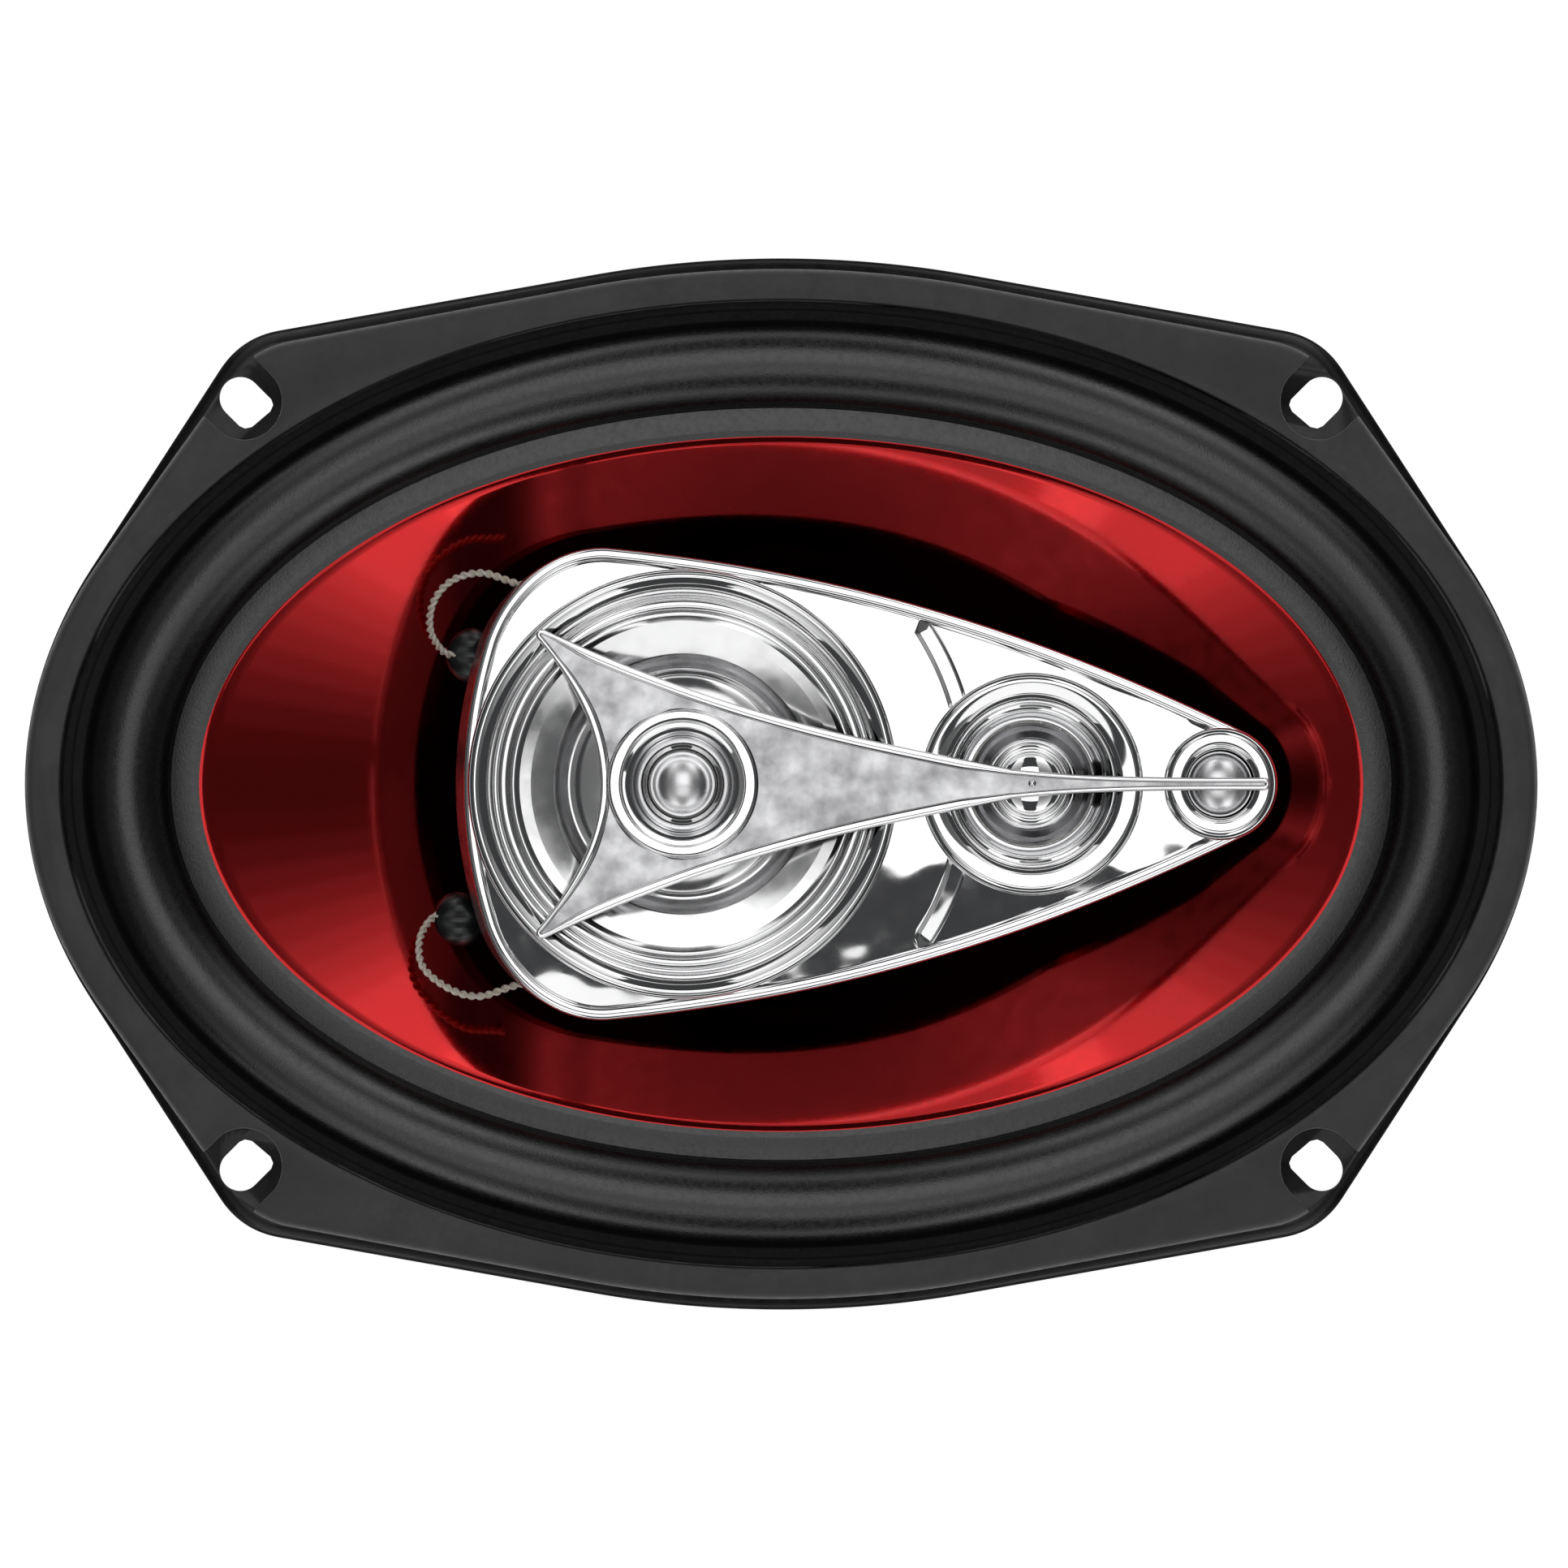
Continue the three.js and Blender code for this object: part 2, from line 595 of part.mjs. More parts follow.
const REAR_LEAD = [
  [-92.1, 10.8, 59.6], [-90.6, 11.6, 62.9], [-84, 13.4, 64.6], [-74.5, 15.8, 62.6], [-65, 18, 59.6],
  [-57, 19.6, 59.7], [-51.2, 20.4, 61.6],
];
add("rear_lead_upper", lead(REAR_LEAD), MATERIALS.braid);
add("rear_lead_lower", lead(REAR_LEAD.map(([x, y, z]) => [x, -y, z])), MATERIALS.braid);

// The terminals are on the back of the basket's leg at -X, in a frame whose Z points off the leg's back face.
const terminals = groupAt(-80.3, 0, 55.65);
terminals.rotation.y = Math.PI + Math.atan2(27, 51.5);
const board = cutEach(
  box(-9, 9, -15, 15, 0.5, 2.1),
  [-4, 4].map((y) => rod(3, y, 1.7, -2, 4)),
);
add("terminal_board", board, MATERIALS.phenolic, terminals);
const tab = (y, width) => box(-20, 11.5, y - width / 2, y + width / 2, 2.4, 3.2);
add("terminal_positive", tab(10.5, 6.3), MATERIALS.tin, terminals);
add("terminal_negative", tab(-10.5, 4.8), MATERIALS.tin, terminals);
[-4, 4].forEach((y, i) => {
  const rivet = turned([[0, 0.5], [1.4, 0.5], [1.4, 2.4], [2.6, 2.4], [2, 3.4], [0, 3.6]], 16);
  add(`terminal_rivet_${i + 1}`, rivet.translate([3, y, 0]), MATERIALS.tin, terminals);
});

// ---------- Assembly: housing and bridge ----------

add("housing_shell", makeShell(), MATERIALS.chrome);
add("housing_base", makeBase(), MATERIALS.blackPlastic);
add("bridge", makeBridge(), MATERIALS.chrome);

// Crossover parts that lie on the base, under the midrange's rim
for (const [name, y] of [["midrange_capacitor", 20], ["tweeter_capacitor", -20]]) {
  const can = new THREE.CylinderGeometry(2.5, 2.5, 11, SMALL_SEGMENTS);
  can.rotateZ(Math.PI / 2);
  can.translate(MID_X, y, BASE_Z + BASE_WALL + 2.7);
  add(name, solidOf(can), MATERIALS.capSleeve);
}
const WIRE_RADIUS = 0.6;
const wireZ = BASE_Z + BASE_WALL + WIRE_RADIUS + 0.2;
for (const [name, side] of [["tweeter_wire_positive", 1], ["tweeter_wire_negative", -1]]) {
  const route = [
    [-9, 20 * side, wireZ + 1], [0, 19 * side, wireZ], [12, 14 * side, wireZ], [22, 7 * side, wireZ + 0.4],
    [28.5, 3 * side, wireZ + 3.2],
  ];
  add(name, lead(route, WIRE_RADIUS), MATERIALS.wireRed);
}

// ---------- Assembly: midrange ----------

const mid = groupAt(MID_X);
const midBottom = BASE_Z + BASE_WALL;
add("mid_trim_ring", trimRing(MID_RING), MATERIALS.chrome, mid);
add(
  "mid_frame",
  turned(sheet([[30.9, 81.4], [28.6, 81.4], [27.6, 79.4], [22, 77.4], [6.9, 77.4]], 0.8)),
  MATERIALS.zinc,
  mid,
);
add(
  "mid_yoke",
  turned([
    [0, midBottom], [10.5, midBottom], [10.5, 72.7], [5, 72.7], [5, 77.4], [0, 77.4],
  ], SMALL_SEGMENTS),
  MATERIALS.zinc,
  mid,
);
add(
  "mid_magnet",
  turned([[7.4, 72.7], [10.5, 72.7], [10.5, 76], [7.4, 76]], SMALL_SEGMENTS),
  MATERIALS.ferrite,
  mid,
);
add(
  "mid_top_plate",
  turned([[6.6, 76], [10.5, 76], [10.5, 77.4], [6.6, 77.4]], SMALL_SEGMENTS),
  MATERIALS.zinc,
  mid,
);
add(
  "mid_surround",
  turned(sheet([[29.9, 82.3], [28.6, 82.3], [27.6, 83.5], [26.4, 83.5], [25.4, 82.3], [23.6, 82]], 0.5)),
  MATERIALS.silverFoil,
  mid,
);
add(
  "mid_cone",
  turned(sheet([[24.9, 81.3], [18.8, 80.1], [17.8, 79.3], [6.3, 79.1]], 0.5)),
  MATERIALS.silverFoil,
  mid,
);
add(
  "mid_voice_coil",
  turned([[5.5, 74.2], [6.1, 74.2], [6.1, 79.2], [5.5, 79.2]], SMALL_SEGMENTS),
  MATERIALS.copper,
  mid,
);
add(
  "mid_dust_cap",
  turned(sheet([[17.4, 79.9], ...domeArc(16.6, 2.1, 80, 4)], 0.4)),
  MATERIALS.silverFoil,
  mid,
);

// ---------- Assembly: dome tweeter in the bridge ----------

add(
  "dome_tweeter_cup",
  turned([
    [0, 84.2], [7.5, 84.2], [CUP_RADIUS, 85.4], [CUP_RADIUS, BRIDGE_TOP], [11.6, BRIDGE_TOP], [11.6, 89.1],
    [11.1, 89.6], [10, 89.6], [9.4, 88.7], [8.2, 88.1], [5.6, 86.7], [5.3, 85], [0, 85],
  ], SMALL_SEGMENTS),
  MATERIALS.chrome,
  mid,
);
add(
  "dome_tweeter_magnet",
  turned([[0, 85], [4.4, 85], [4.4, 86], [0, 86]], SMALL_SEGMENTS),
  MATERIALS.zinc,
  mid,
);
add(
  "dome_tweeter_dome",
  turned(sheet([[4.9, 86.5], ...domeArc(4.2, 2.3, 86.5, 4)], 0.35), SMALL_SEGMENTS),
  MATERIALS.chrome,
  mid,
);

// ---------- Assembly: cone tweeter ----------

const tweeter = groupAt(TWEETER_X);
add("tweeter_trim_ring", trimRing(TWEETER_RING), MATERIALS.chrome, tweeter);
add(
  "tweeter_horn",
  turned([
    [9.8, 80.4], [10.5, 80.4], [10.5, 82], [13, 84.2], [13, 85.1], [12.4, 85.1], [9.8, 82.8],
  ], SMALL_SEGMENTS),
  MATERIALS.chrome,
  tweeter,
);
add(
  "tweeter_yoke",
  turned([[0, 74.4], [9, 74.4], [9, 75.4], [4.2, 75.4], [4.2, 80.2], [0, 80.2]], SMALL_SEGMENTS),
  MATERIALS.zinc,
  tweeter,
);
add(
  "tweeter_magnet",
  turned([[6.2, 75.4], [9, 75.4], [9, 78.6], [6.2, 78.6]], SMALL_SEGMENTS),
  MATERIALS.ferrite,
  tweeter,
);
add(
  "tweeter_top_plate",
  turned([[5.8, 78.6], [10.5, 78.6], [10.5, 80.4], [5.8, 80.4]], SMALL_SEGMENTS),
  MATERIALS.zinc,
  tweeter,
);
add(
  "tweeter_diaphragm",
  turned(sheet([[9.4, 82.3], [6.4, 81.1], ...domeArc(5.1, 1.7, 81.6, 3)], 0.4), SMALL_SEGMENTS),
  MATERIALS.darkFoil,
  tweeter,
);
add(
  "tweeter_voice_coil",
  turned([[4.6, 77], [5.3, 77], [5.3, 81.3], [4.6, 81.3]], SMALL_SEGMENTS),
  MATERIALS.copper,
  tweeter,
);

// ---------- Assembly: super tweeter ----------

const superTweeter = groupAt(SUPER_X);
add("super_tweeter_ring", trimRing(SUPER_RING), MATERIALS.chrome, superTweeter);
add(
  "super_tweeter_cup",
  turned([[0, 77], [6.1, 77], [6.1, 82.7], [5.3, 82.7], [5.3, 78], [0, 78]], SMALL_SEGMENTS),
  MATERIALS.blackPlastic,
  superTweeter,
);
add(
  "super_tweeter_magnet",
  turned([[0, 78], [4.6, 78], [4.6, 81.4], [0, 81.4]], SMALL_SEGMENTS),
  MATERIALS.zinc,
  superTweeter,
);
add(
  "super_tweeter_dome",
  turned(sheet([[4.9, 82.9], ...domeArc(4.4, 2.4, 83, 4)], 0.35), SMALL_SEGMENTS),
  MATERIALS.chrome,
  superTweeter,
);

export default speaker;
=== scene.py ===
"""The looks of a 6x9 inch four-way coaxial car speaker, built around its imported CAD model.

Shapes are made in millimetres in the CAD model's frame (+Z towards the listener, +X along the oval) and are
turned into metres when they are placed. Every visible CAD node is replaced by a finer piece of the same size,
or keeps its shape and gets a better material.
"""
import math

import bmesh
import bpy
import numpy as np
from mathutils import Matrix, Vector, noise


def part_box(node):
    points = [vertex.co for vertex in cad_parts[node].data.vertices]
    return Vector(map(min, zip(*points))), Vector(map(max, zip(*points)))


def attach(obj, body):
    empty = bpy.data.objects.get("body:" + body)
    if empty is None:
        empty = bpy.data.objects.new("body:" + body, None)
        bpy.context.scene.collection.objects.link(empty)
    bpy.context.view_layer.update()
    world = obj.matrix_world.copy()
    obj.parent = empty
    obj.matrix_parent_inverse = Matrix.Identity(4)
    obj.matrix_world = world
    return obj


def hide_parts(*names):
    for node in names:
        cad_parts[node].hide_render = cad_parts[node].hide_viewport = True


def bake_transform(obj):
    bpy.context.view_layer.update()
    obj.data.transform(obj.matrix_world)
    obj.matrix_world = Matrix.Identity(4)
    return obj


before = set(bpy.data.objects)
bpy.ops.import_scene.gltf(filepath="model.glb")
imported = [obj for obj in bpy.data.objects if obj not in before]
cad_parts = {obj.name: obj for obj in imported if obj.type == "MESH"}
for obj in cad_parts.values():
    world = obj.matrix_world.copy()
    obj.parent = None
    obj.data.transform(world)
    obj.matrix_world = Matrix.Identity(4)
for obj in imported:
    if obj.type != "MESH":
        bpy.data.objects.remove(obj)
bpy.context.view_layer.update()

MM = 0.001


def low(node):
    """The lowest corner of a CAD node, in millimetres."""
    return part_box(node)[0] / MM


def high(node):
    """The highest corner of a CAD node, in millimetres."""
    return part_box(node)[1] / MM


def middle(node):
    return (low(node) + high(node)) / 2


# ---------- Levels and places, from the frame ----------

BACK = low("yoke").z
FLANGE_BACK = 76.0
FLANGE_TOP = low("front_gasket").z
GASKET_TOP = high("front_gasket").z
MAGNET_LOW, MAGNET_HIGH = low("magnet").z, high("magnet").z
PLATE_HIGH = high("top_plate").z
BASE_Z = low("housing_base").z
DECK_Z = high("housing_shell").z
TRIM_TOP = high("mid_trim_ring").z
BRIDGE_LOW, BRIDGE_HIGH = low("bridge").z, high("bridge").z
MID_X = middle("mid_trim_ring").x
TWEETER_X = middle("tweeter_trim_ring").x
SUPER_X = middle("super_tweeter_ring").x

FINE = 192  # facets round the oval and the large round pieces
ROUND = 96  # facets round the small round pieces


# ---------- Mesh helpers ----------


def clamp(t):
    return min(max(t, 0), 1)


def mesh_object(name, points, faces, sharp=32):
    """A smooth mesh from points in millimetres, creased where faces meet by more than sharp degrees."""
    mesh = bpy.data.meshes.new(name)
    mesh.from_pydata(points, [], faces)
    mesh.validate()
    shape = bpy.data.objects.new(name, mesh)
    bpy.context.scene.collection.objects.link(shape)
    smooth(shape, sharp)
    return shape


def smooth(shape, sharp=32):
    mesh = shape.data
    mesh.polygons.foreach_set("use_smooth", [True] * len(mesh.polygons))
    mesh.set_sharp_from_angle(angle=math.radians(sharp))
    mesh.update()


def apply_modifiers(shape):
    """Replaces the mesh by what its modifiers make of it."""
    graph = bpy.context.evaluated_depsgraph_get()
    made = bpy.data.meshes.new_from_object(shape.evaluated_get(graph))
    shape.modifiers.clear()
    shape.data = made
    smooth(shape)


def cut(shape, tool):
    """Cuts tool from shape, and deletes it."""
    modifier = shape.modifiers.new("cut", "BOOLEAN")
    modifier.operation = "DIFFERENCE"
    modifier.solver = "EXACT"
    modifier.object = tool
    apply_modifiers(shape)
    bpy.data.objects.remove(tool)


def soften(shape, width, angle=50):
    """Adds a bevel to the edges where faces meet by more than angle degrees."""
    modifier = shape.modifiers.new("bevel", "BEVEL")
    modifier.width = width
    modifier.segments = 2
    modifier.limit_method = "ANGLE"
    modifier.angle_limit = math.radians(angle)


def bevel(shape, width, angle=50):
    soften(shape, width, angle)
    apply_modifiers(shape)


def edited(shape, change):
    """Lets change work on a shape's mesh."""
    work = bmesh.new()
    work.from_mesh(shape.data)
    change(work)
    work.to_mesh(shape.data)
    work.free()
    return shape


def outward(shape):
    """Turns a closed mesh's faces to point out of it."""
    return edited(shape, lambda work: bmesh.ops.recalc_face_normals(work, faces=work.faces))


def merge_close(shape):
    """Makes one vertex of those that lie in one place."""
    return edited(shape, lambda work: bmesh.ops.remove_doubles(work, verts=work.verts, dist=1e-6))


def join(shape, *others):
    """Adds the meshes of others to shape."""

    def add_others(work):
        for other in others:
            work.from_mesh(other.data)
            bpy.data.objects.remove(other)

    return edited(shape, add_others)


def fillet(points, closed=True, steps=4):
    """Rounds a polyline's corners. A point is (r, z) for a small rounding, or (r, z, radius)."""
    made = []
    count = len(points)
    for i, point in enumerate(points):
        radius = point[2] if len(point) > 2 else 0.12
        here = Vector(point[:2])
        if not closed and i in (0, count - 1) or radius == 0:
            made.append(tuple(here))
            continue
        before = Vector(points[i - 1][:2]) - here
        after = Vector(points[(i + 1) % count][:2]) - here
        turn = before.angle(after, math.pi)
        if turn > math.radians(176):
            made.append(tuple(here))
            continue
        reach = min(radius / math.tan(turn / 2), before.length * 0.48, after.length * 0.48)
        start = here + before.normalized() * reach
        end = here + after.normalized() * reach
        for k in range(steps + 1):
            t = k / steps
            made.append(tuple(start * (1 - t) ** 2 + here * 2 * t * (1 - t) + end * t * t))
    return made


def lathe(name, profile, centre=(0, 0), segments=ROUND, oval=None, sharp=32):
    """Turns an (r, z) profile round the Z axis through centre. oval gives the radius across from that along.

    A profile that starts and ends on the axis makes a solid; any other closes on itself."""
    points, faces = [], []
    rows = []
    on_axis = profile[0][0] == 0
    for r, z in profile:
        if r == 0:
            rows.append([len(points)] * segments)
            points.append((centre[0], centre[1], z))
            continue
        rows.append(list(range(len(points), len(points) + segments)))
        across = oval(r) if oval else r
        for k in range(segments):
            angle = 2 * math.pi * k / segments
            points.append((centre[0] + r * math.cos(angle), centre[1] + across * math.sin(angle), z))
    if not on_axis:
        rows.append(rows[0])
    for lower, upper in zip(rows, rows[1:]):
        for k in range(segments):
            n = (k + 1) % segments
            face = list(dict.fromkeys([lower[k], lower[n], upper[n], upper[k]]))
            if len(face) > 2:
                faces.append(face)
    return outward(mesh_object(name, points, faces, sharp))


def turned(name, profile, **options):
    """A lathe piece whose profile has rounded corners. A profile on the axis stays open there."""
    return lathe(name, fillet(profile, closed=profile[0][0] != 0), **options)


def thick(path, thickness):
    """The closed profile of a sheet that follows an open path, thickened to the side of larger z or r."""
    points = [Vector(p) for p in path]
    sides = []
    for i, point in enumerate(points):
        along = (points[min(i + 1, len(points) - 1)] - points[max(i - 1, 0)]).normalized()
        side = Vector((-along.y, along.x))
        sides.append(point + side * thickness)
    for i, (r, _) in enumerate(path):
        if r == 0:
            sides[i].x = 0
    return [tuple(p) for p in points] + [tuple(p) for p in reversed(sides)]


def pressed(name, path, thickness, steps=6, **options):
    """A lathe piece of even thickness along a path whose corners are rounded."""
    return lathe(name, thick(fillet(path, closed=False, steps=steps), thickness), **options)


def loft(name, rings, sharp=32, close=False):
    """Skins rings of points, from the first to the last. The ends get flat caps, or close joins them."""
    count = len(rings[0])
    points = [p for ring in rings for p in ring]
    faces = []
    spans = len(rings) if close else len(rings) - 1
    for i in range(spans):
        a, b = i * count, ((i + 1) % len(rings)) * count
        for k in range(count):
            n = (k + 1) % count
            faces.append((a + k, a + n, b + n, b + k))
    if not close:
        faces.append(tuple(reversed(range(count))))
        faces.append(tuple(range((len(rings) - 1) * count, len(rings) * count)))
    return outward(mesh_object(name, points, faces, sharp))


def prism(name, outline, z0, z1):
    return loft(name, [[(x, y, z) for x, y in outline] for z in (z0, z1)])


def inset(outline, distance):
    """An outline that runs anticlockwise, moved inwards."""
    count = len(outline)
    made = []
    for i in range(count):
        (ax, ay), (bx, by) = outline[i - 1], outline[(i + 1) % count]
        length = math.hypot(bx - ax, by - ay)
        x, y = outline[i]
        made.append((x - (by - ay) / length * distance, y + (bx - ax) / length * distance))
    return made


def bezier(*controls, steps=24):
    """Points of a quadratic or cubic curve, without its last one."""
    made = []
    for k in range(steps):
        t = k / steps
        level = [Vector(p) for p in controls]
        while len(level) > 1:
            level = [a.lerp(b, t) for a, b in zip(level, level[1:])]
        made.append(tuple(level[0]))
    return made


def arc(x, y, radius, first, last, steps):
    """Points from one angle, in degrees, to just before another."""
    turns = [math.radians(first + (last - first) * k / steps) for k in range(steps)]
    return [(x + radius * math.cos(t), y + radius * math.sin(t)) for t in turns]


def ellipse(a, b, segments=FINE, x=0, y=0):
    turns = [2 * math.pi * k / segments for k in range(segments)]
    return [(x + a * math.cos(t), y + b * math.sin(t)) for t in turns]


def dome(radius, height, z, steps=14):
    """A dome's profile, from its rim to its top on the axis."""
    made = []
    for k in range(steps):
        angle = math.pi / 2 * k / steps
        made.append((radius * math.cos(angle), z + height * math.sin(angle)))
    return made + [(0, z + height)]


def strand_rings(route, radius, sides, turn_per_mm, offset, phase):
    """Rings of one strand that winds round a route at a distance of offset."""
    points = [Vector(p) for p in route]
    side = Vector((0, 0, 1))
    travelled = 0.0
    rings = []
    for i, point in enumerate(points):
        along = (points[min(i + 1, len(points) - 1)] - points[max(i - 1, 0)]).normalized()
        side = (side - along * side.dot(along)).normalized()
        other = along.cross(side)
        if i:
            travelled += (point - points[i - 1]).length
        wind = phase + travelled * turn_per_mm
        core = point + (side * math.cos(wind) + other * math.sin(wind)) * offset
        ring = []
        for k in range(sides):
            angle = 2 * math.pi * k / sides
            ring.append(tuple(core + (side * math.cos(angle) + other * math.sin(angle)) * radius))
        rings.append(ring)
    return rings


def spline(points, step):
    """A smooth curve through points, as points about step apart."""
    knots = [Vector(p) for p in points]
    knots = [knots[0] * 2 - knots[1], *knots, knots[-1] * 2 - knots[-2]]
    made = []
    for a, b, c, d in zip(knots, knots[1:], knots[2:], knots[3:]):
        count = max(2, round((c - b).length / step))
        for k in range(count):
            t = k / count
            square, cube = a * 2 - b * 5 + c * 4 - d, b * 3 - a - c * 3 + d
            made.append((b * 2 + (c - a) * t + square * t**2 + cube * t**3) / 2)
    return made + [knots[-2]]


# ---------- Materials ----------

BAND = 0.314  # from band to band in a wave texture of scale 1

class Finish:
    """A procedural material: a principled shader whose colour, roughness and relief vary over the surface."""

    def __init__(self, name, **sockets):
        self.material = bpy.data.materials.new(name)
        self.material.use_nodes = True
        self.tree = self.material.node_tree
        self.shader = self.tree.nodes["Principled BSDF"]
        self.place = self.tree.nodes.new("ShaderNodeTexCoord").outputs["Object"]
        for socket, value in sockets.items():
            self.shader.inputs[socket.replace("_", " ")].default_value = value

    def node(self, kind, **values):
        made = self.tree.nodes.new(kind)
        for key, value in values.items():
            setattr(made, key, value)
        return made

    def link(self, output, socket):
        self.tree.links.new(output, socket)

    def noise(self, size_mm, detail=3.0, stretch=None):
        made = self.node("ShaderNodeTexNoise")
        made.inputs["Scale"].default_value = 1 / (size_mm * MM)
        made.inputs["Detail"].default_value = detail
        self.link(self.stretched(stretch), made.inputs["Vector"])
        return made.outputs["Fac"]

    def stretched(self, stretch):
        if stretch is None:
            return self.place
        mapping = self.node("ShaderNodeMapping")
        mapping.inputs["Scale"].default_value = stretch
        self.link(self.place, mapping.inputs["Vector"])
        return mapping.outputs["Vector"]

    def waves(self, size_mm, direction):
        made = self.node("ShaderNodeTexWave", wave_type="BANDS", bands_direction=direction)
        made.inputs["Scale"].default_value = BAND / (size_mm * MM)
        self.link(self.place, made.inputs["Vector"])
        return made.outputs["Fac"]

    def ranged(self, value, low_value, high_value, start=0.3, stop=0.7):
        made = self.node("ShaderNodeMapRange")
        made.inputs["From Min"].default_value = start
        made.inputs["From Max"].default_value = stop
        made.inputs["To Min"].default_value = low_value
        made.inputs["To Max"].default_value = high_value
        self.link(value, made.inputs["Value"])
        return made.outputs["Result"]

    def product(self, a, b):
        made = self.node("ShaderNodeMath", operation="MULTIPLY")
        self.link(a, made.inputs[0])
        self.link(b, made.inputs[1])
        return made.outputs[0]

    def colour(self, value, first, second, start=0.3, stop=0.7):
        made = self.node("ShaderNodeMix", data_type="RGBA")
        self.link(self.ranged(value, 0, 1, start, stop), made.inputs["Factor"])
        made.inputs["A"].default_value = (*first, 1)
        made.inputs["B"].default_value = (*second, 1)
        self.link(made.outputs["Result"], self.shader.inputs["Base Color"])
        return self

    def roughness(self, value, low_value, high_value):
        self.link(self.ranged(value, low_value, high_value), self.shader.inputs["Roughness"])
        return self

    def relief(self, value, depth_mm):
        made = self.node("ShaderNodeBump")
        made.inputs["Distance"].default_value = depth_mm * MM
        self.link(value, made.inputs["Height"])
        self.link(made.outputs["Normal"], self.shader.inputs["Normal"])
        return self


def mottled(name, colour, roughness, relief, **sockets):
    """A finish with patches of colour, roughness and relief: each a size in mm, a detail and a range."""
    made = Finish(name, **sockets)
    made.colour(made.noise(*colour[:2]), *colour[2:])
    made.roughness(made.noise(*roughness[:2]), *roughness[2:])
    return made.relief(made.noise(*relief[:2]), relief[2])


def chrome(name, tint, low_roughness, high_roughness, ripple_mm, ripple_depth):
    made = Finish(name, Metallic=1.0)
    made.colour(made.noise(14), tint, tuple(c * 0.96 for c in tint))
    made.roughness(made.noise(3, 5), low_roughness, high_roughness)
    return made.relief(made.noise(ripple_mm, 1), ripple_depth)


def black_steel():
    return mottled(
        "gloss black paint", (20, 3, (0.003, 0.003, 0.0034), (0.006, 0.006, 0.0066)),
        (2.5, 4, 0.22, 0.34), (0.9, 2, 0.012),
        Coat_Weight=0.25, Coat_Roughness=0.08, Specular_IOR_Level=0.35,
    )


def gasket():
    return mottled(
        "moulded charcoal gasket", (7, 5, (0.052, 0.052, 0.053), (0.068, 0.068, 0.069)),
        (1.2, 4, 0.44, 0.6), (0.28, 3, 0.03),
    )


def surround_rubber():
    return mottled(
        "satin black rubber", (9, 4, (0.002, 0.002, 0.0022), (0.005, 0.005, 0.0052)),
        (0.8, 4, 0.2, 0.3), (0.25, 2, 0.025),
        Specular_IOR_Level=0.9,
    )


# A duller copy of the surround's black rubber: painted shade on the recessed ring where the surround lies on
# the flange.
def surround_seat():
    return mottled(
        "black rubber dulled as painted shade", (9, 4, (0.007, 0.007, 0.0072), (0.011, 0.011, 0.0112)),
        (0.8, 4, 0.5, 0.65), (0.25, 2, 0.02),
        Specular_IOR_Level=0.2,
    )


def red_cone():
    return mottled(
        "metallised red cone", (30, 3, (0.43, 0.003, 0.004), (0.5, 0.004, 0.006)),
        (1.5, 4, 0.08, 0.13), (0.6, 2, 0.003),
        Metallic=1.0, Coat_Weight=0.5, Coat_Roughness=0.06,
    )


def chrome_plastic():
    return chrome("chrome plating", (0.93, 0.93, 0.935), 0.03, 0.06, 9, 0.01)


def chrome_deck():
    return chrome("wavy chrome deck", (0.93, 0.93, 0.935), 0.03, 0.06, 11, 0.22)


def chrome_side():
    return chrome("satin chrome side", (0.4, 0.4, 0.41), 0.26, 0.36, 9, 0.02)


def chrome_field():
    return mottled(
        "satin chrome field", (4.5, 6, (0.3, 0.3, 0.31), (0.72, 0.72, 0.73)), (3, 5, 0.12, 0.24), (7, 1, 0.2),
        Metallic=1.0,
    )


def satin_dome():
    return chrome("satin metal dome", (0.95, 0.95, 0.96), 0.26, 0.34, 5, 0.01)


def silver_foil():
    return chrome("silver film", (0.9, 0.9, 0.905), 0.1, 0.18, 6, 0.02)


def dark_foil():
    return chrome("dark film", (0.34, 0.34, 0.35), 0.12, 0.22, 4, 0.02)


def zinc_steel():
    return mottled(
        "zinc plated steel", (11, 4, (0.5, 0.5, 0.5), (0.62, 0.61, 0.57)),
        (0.5, 4, 0.24, 0.42), (0.35, 3, 0.012),
        Metallic=1.0,
    )


def ferrite():
    return mottled(
        "sintered ferrite", (1.1, 8, (0.02, 0.02, 0.021), (0.045, 0.045, 0.047)),
        (3, 5, 0.55, 0.8), (0.5, 6, 0.06),
    )


def copper():
    made = Finish("enamelled copper winding", Metallic=1.0)
    made.colour(made.waves(0.3, "Z"), (0.35, 0.11, 0.035), (0.72, 0.3, 0.11), 0.2, 0.8)
    made.roughness(made.noise(1, 3), 0.2, 0.35)
    return made.relief(made.waves(0.3, "Z"), 0.08)


def kapton():
    made = Finish("amber polyimide", Coat_Weight=0.4)
    made.colour(made.noise(4, 3), (0.23, 0.085, 0.012), (0.33, 0.13, 0.02))
    return made.roughness(made.noise(2, 3), 0.25, 0.4)


def spider_cloth():
    made = Finish("resin-stiffened cloth", Sheen_Weight=0.3, Sheen_Roughness=0.5)
    weave = made.product(made.waves(0.8, "X"), made.waves(0.8, "Y"))
    made.colour(weave, (0.3, 0.17, 0.04), (0.62, 0.42, 0.15), 0.05, 0.7)
    made.roughness(made.noise(2, 3), 0.7, 0.9)
    return made.relief(weave, 0.12)


def black_plastic():
    return mottled(
        "moulded black plastic", (6, 4, (0.012, 0.012, 0.012), (0.02, 0.02, 0.02)),
        (0.6, 4, 0.4, 0.55), (0.3, 3, 0.02),
    )


